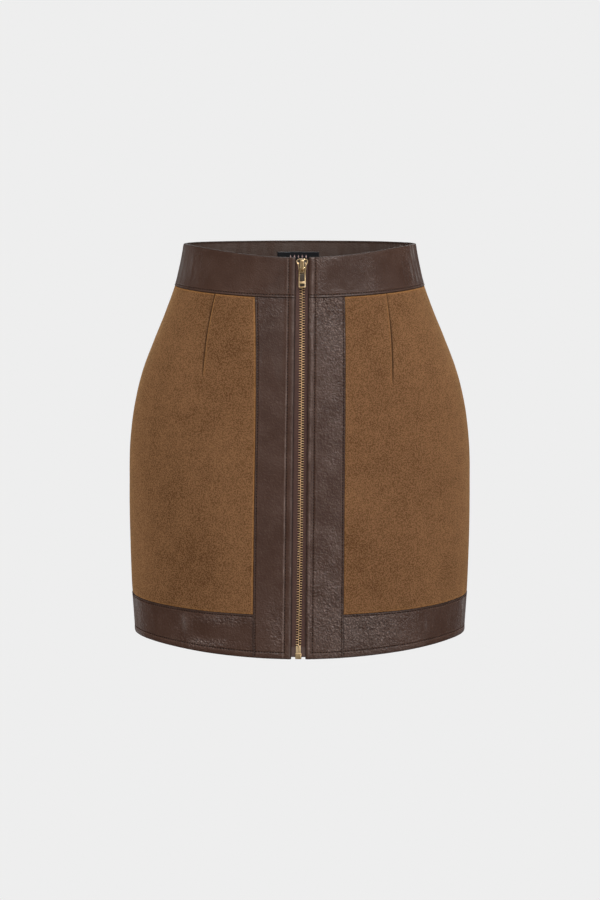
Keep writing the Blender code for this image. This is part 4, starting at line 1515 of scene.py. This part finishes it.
def slider_marks(points):
    """Painted highlights along the plates' edges and the bridge's bevels; painted shade in the pockets, under
    the bridge, at its top and on the back plate and post.
    """
    x, y, z = points.T / MM
    inside = np.interp(-z, -SLIDER_SIDE[:, 1], SLIDER_SIDE[:, 0]) - np.abs(x)
    from_edge = np.clip(np.minimum(inside, z + 14.8), 0, 9)
    plate = (y > 0.05) & (y < 1.2)
    worn = np.where(plate, 0.65 * np.exp(-((from_edge / 0.60) ** 2)), 0.0)
    worn = np.where(y < 0.0, 0.06 + 0.4 * bell(np.abs(x), 1.7, 0.4) * (z < -2.2), worn)
    under = plate * bell(np.abs(x), 2.6, 1.0) * (z > -13.0) * (z < -0.6)
    hollow = np.maximum(pocket(x, z) * plate, under)
    hollow = np.maximum(hollow, 0.85 * bell(z, -0.9, 1.0) * (y < 0.6) * (np.abs(x) < 2.1))
    return {"worn": worn * (1 - hollow), "hollow": np.maximum(hollow, (y > 1.3) * 0.7)}


def make_slider():
    """Two plates, the post between them and the bridge over the front one."""
    bridge = np.insert(smooth_path(BRIDGE), 0, 0.0, axis=1)
    slider = joined([
        slider_plate(True),
        slider_plate(False),
        rounded_block((-1.1, 1.2, -4.2), (1.1, 5.3, -0.4), 0.3),
        swept(bridge, (1, 0, 0), 1.85, 0.55, 0.7),
    ])
    put = bench(SLIDER_DROP, SLIDER_DROP + SLIDER_MIDDLE)
    add_brass("slider", "zip_slider", put(slider), slider_marks(slider[0]))


def pull_marks(points):
    """Painted highlights along both bars, brighter on the right one, and on the cross piece; painted shade in
    the window and the slot between them.
    """
    x, y, z = points.T / MM
    web = y > -0.45
    worn = np.where(x > 0, 1.0, 0.45) * bell(np.abs(x), 3.0, 0.6) * (z < -12.5) * ~web
    cross = bell(z, -24.0, 0.7) * (np.abs(x) < 2.6)
    hollow = np.where(z < -25.0, 1.0, 0.97) * web
    return {"worn": np.maximum(worn, 0.5 * cross * ~web), "hollow": hollow}


def make_pull():
    """A flat ring whose top is the eye, a cross piece near its foot, and a thin web sunk in the windows."""
    half, top, bottom, radius, y = 2.98, -9.4, -28.75, 1.0, -0.8
    x, z, turn = round_corners(half - radius, (top - bottom) / 2 - radius, 5)
    z = z + (top + bottom) / 2
    ring = rings_of(x + radius * np.cos(turn), y, z + radius * np.sin(turn))
    pull = joined([
        swept(ring, (0, 1, 0), 0.65, 0.67, 0.55, closed=True),
        rounded_block((-2.7, y - 0.6, -25.3), (2.7, y + 0.35, -23.0), 0.35),
        rounded_block((-2.6, y + 0.4, -28.4), (2.6, y + 0.7, -15.2), 0.1),
    ])
    put = bench(SLIDER_DROP, SLIDER_DROP + SLIDER_MIDDLE)
    add_brass("pull", "zip_pull", put(pull), pull_marks(pull[0]), body="pull_tab")


def make_bottom_box():
    """A rounded box with the ends of the two pins standing up out of it."""
    shapes = [rounded_block((-3.2, 1.6, -6.4), (3.2, 4.8, 0.0), 0.8)]
    pin_top = (BOX_TOP_DROP - PIN_TOP_DROP) / MM
    for low, high in ((-2.5, -0.06), (0.06, 2.5)):
        shapes.append(rounded_block((low, 2.1, -1.0), (high, 4.3, pin_top), 0.6))
    points, faces = joined(shapes)
    x, _, z = points.T / MM
    # Painted highlights down the pins and on the box's front, painted shade between the pins and along the
    # box's top.
    marks = {
        "worn": 0.08 + 0.6 * bell(np.abs(x), 1.7, 0.6) * (z > -0.5) + 0.5 * bell(x, -1.6, 0.8) * (z <= -0.5),
        "hollow": 0.9 * bell(x, 0, 0.35) * (z > 0.1) + 0.7 * bell(z, 0, 0.4),
    }
    add_brass("bottom_box", "zip_bottom_box", bench(BOX_TOP_DROP, BOX_TOP_DROP)((points, faces)), marks)


# ---- the label ------------------------------------------------------------------------------------------
def make_label():
    """Flat inside the back of the waistband, a little bowed, with a crease where its top is folded under."""

    def relief(angle, drop, margins):
        sides = np.minimum(margins["left"], margins["right"])
        bow = 0.25 * MM * swell(sides, 0, 46 * MM) - 0.2 * MM * bell(margins["top"], 1.2 * MM, 0.6 * MM)
        return bow - drape(angle, drop)

    def end(side):
        return upright(lambda drop: np.full_like(drop, LABEL_MIDDLE_X + side * LABEL_HALF_WIDTH), True)

    edges = [level(drop) for drop in LABEL_DROPS]
    cut = Cut("label", (end(1), end(-1)), edges, 0.8 * MM, relief, depth=WAISTBAND_WALL + GAP)
    piece = cut.make(SATIN, 0.8 * MM, 0.8 * MM, 0.25 * MM)
    declare_cloth(piece, cut, "back_label", "satin")


# ---- stage ----------------------------------------------------------------------------------------------
def pale(name, value):
    """A plain glow, the same from every side."""
    material = bpy.data.materials.new(name)
    material.use_nodes = True
    nodes = material.node_tree.nodes
    nodes.clear()
    glow, out = nodes.new("ShaderNodeEmission"), nodes.new("ShaderNodeOutputMaterial")
    glow.inputs["Color"].default_value = (value, value, value, 1)
    material.node_tree.links.new(glow.outputs[0], out.inputs[0])
    return material


def make_stage():
    """A pale floor below, turning up into a round pale wall far behind, seen but shedding no light."""
    floor, around = -1.0, 96
    profile = np.array([(0.01, 0.0), (6.0, 0.0), (7.0, 0.05), (7.8, 0.4), (8.2, 1.2), (8.3, 3.0), (8.3, 7.0)])
    reach, lift = profile.T[..., None]
    turn = np.arange(around) * (2 * math.pi / around)
    rings = rings_of(reach * np.cos(turn), reach * np.sin(turn), floor + lift)
    points = rings.reshape(-1, 3).tolist() + [(0, 0, floor)]
    middle = [(k, (k + 1) % around, len(points) - 1) for k in range(around)]
    data = bpy.data.meshes.new("studio")
    data.from_pydata(points, [], grid_faces(len(profile), around, wrap=True)[:, ::-1].tolist() + middle)
    data.materials.append(pale("studio_white", 0.855))
    studio = into_scene("studio", data)
    studio.visible_diffuse = studio.visible_glossy = False
    studio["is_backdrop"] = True


def area_light(name, azimuth, elevation, distance, size, power, unseen=None, at=(0, 0, -0.18),
               colour=(1, 1, 1)):
    """A softbox that faces the skirt. Azimuth 0 is in front, 90 at +X. unseen is a kind of light it lacks."""
    a, e = math.radians(azimuth), math.radians(elevation)
    away = np.array([math.sin(a) * math.cos(e), -math.cos(a) * math.cos(e), math.sin(e)])
    data = bpy.data.lights.new(name, "AREA")
    data.shape = "RECTANGLE"
    data.size, data.size_y = size
    data.energy, data.color = power, colour
    lamp = into_scene(name, data)
    lamp.location = np.array(at) + away * distance
    lamp.rotation_euler = Vector(-away).to_track_quat("-Z", "Y").to_euler()
    lamp.visible_camera = False
    if unseen:
        setattr(lamp, f"visible_{unseen}", False)


def make_lights():
    """A dim white room, large soft lights that shape the cloth, small ones that only its gloss shows, and one
    inside the waist."""
    world = bpy.data.worlds.new("studio_air")
    world.use_nodes = True
    air = world.node_tree.nodes["Background"].inputs
    air["Color"].default_value = (1, 1, 1, 1)
    air["Strength"].default_value = 0.14
    bpy.context.scene.world = world
    area_light("key", 46, 30, 2.6, (0.7, 0.7), 24, "glossy")
    area_light("fill", -9, 6, 2.8, (2.4, 1.6), 63, "glossy")
    area_light("glow_right", 108, 4, 2.0, (0.5, 1.4), 26, "glossy")
    area_light("glow_left", -108, 4, 2.0, (0.5, 1.4), 24, "glossy")
    area_light("rim_right", 136, -8, 1.8, (0.3, 1.2), 1.1, at=(0, 0, -0.30))
    area_light("rim_left", -136, -8, 1.8, (0.3, 1.2), 1.5, at=(0, 0, -0.30))
    area_light("glint_high", 20, 52, 2.6, (0.5, 0.5), 54, "diffuse")
    area_light("glint_low", 44, -10, 2.6, (0.5, 0.5), 14, "diffuse")
    area_light("glint_side", 62, 34, 2.6, (0.4, 0.4), 8, "diffuse")
    area_light("top", 0, 84, 2.0, (1.2, 1.2), 8)
    area_light("back", 180, 34, 2.8, (2.2, 1.4), 40)
    area_light("inside", 0, 62, 0.34, (0.22, 0.06), 0.9, "glossy", (0, 0.09, 0.0), (0.80, 0.95, 1.0))


CAMERA_DISTANCE = 3.0
CAMERA_ELEVATION = math.radians(6.0)
CAMERA_AIM_DROP = 0.2152
CAMERA_ASIDE = 0.35 * MM
FOCAL_SHARE = 3.2


def make_camera():
    """Far enough for a calm perspective, a little above the rim. The lens is a multiple of the sensor."""
    data = bpy.data.cameras.new("camera")
    data.sensor_width = 36.0
    data.lens = data.sensor_width * FOCAL_SHARE
    data.clip_start, data.clip_end = 0.1, 60.0
    camera = into_scene("camera", data)
    reach, lift = math.cos(CAMERA_ELEVATION), math.sin(CAMERA_ELEVATION)
    aim = RIM_HEIGHT - CAMERA_AIM_DROP
    camera.location = (CAMERA_ASIDE, -CAMERA_DISTANCE * reach, aim + CAMERA_DISTANCE * lift)
    camera.rotation_euler = (math.pi / 2 - CAMERA_ELEVATION, 0, 0)
    bpy.context.scene.camera = camera
    bpy.context.scene.view_settings.view_transform = "Standard"


make_camera()
cuts = list(cut_cloth())
make_cloth(cuts)
make_stitches(cuts)
make_tapes()
make_teeth()
make_slider()
make_pull()
make_bottom_box()
make_label()
make_stage()
make_lights()

boxes = {"cad": cad_box, "visual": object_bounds()}
{name: [list(corner) for corner in box] for name, box in boxes.items()}
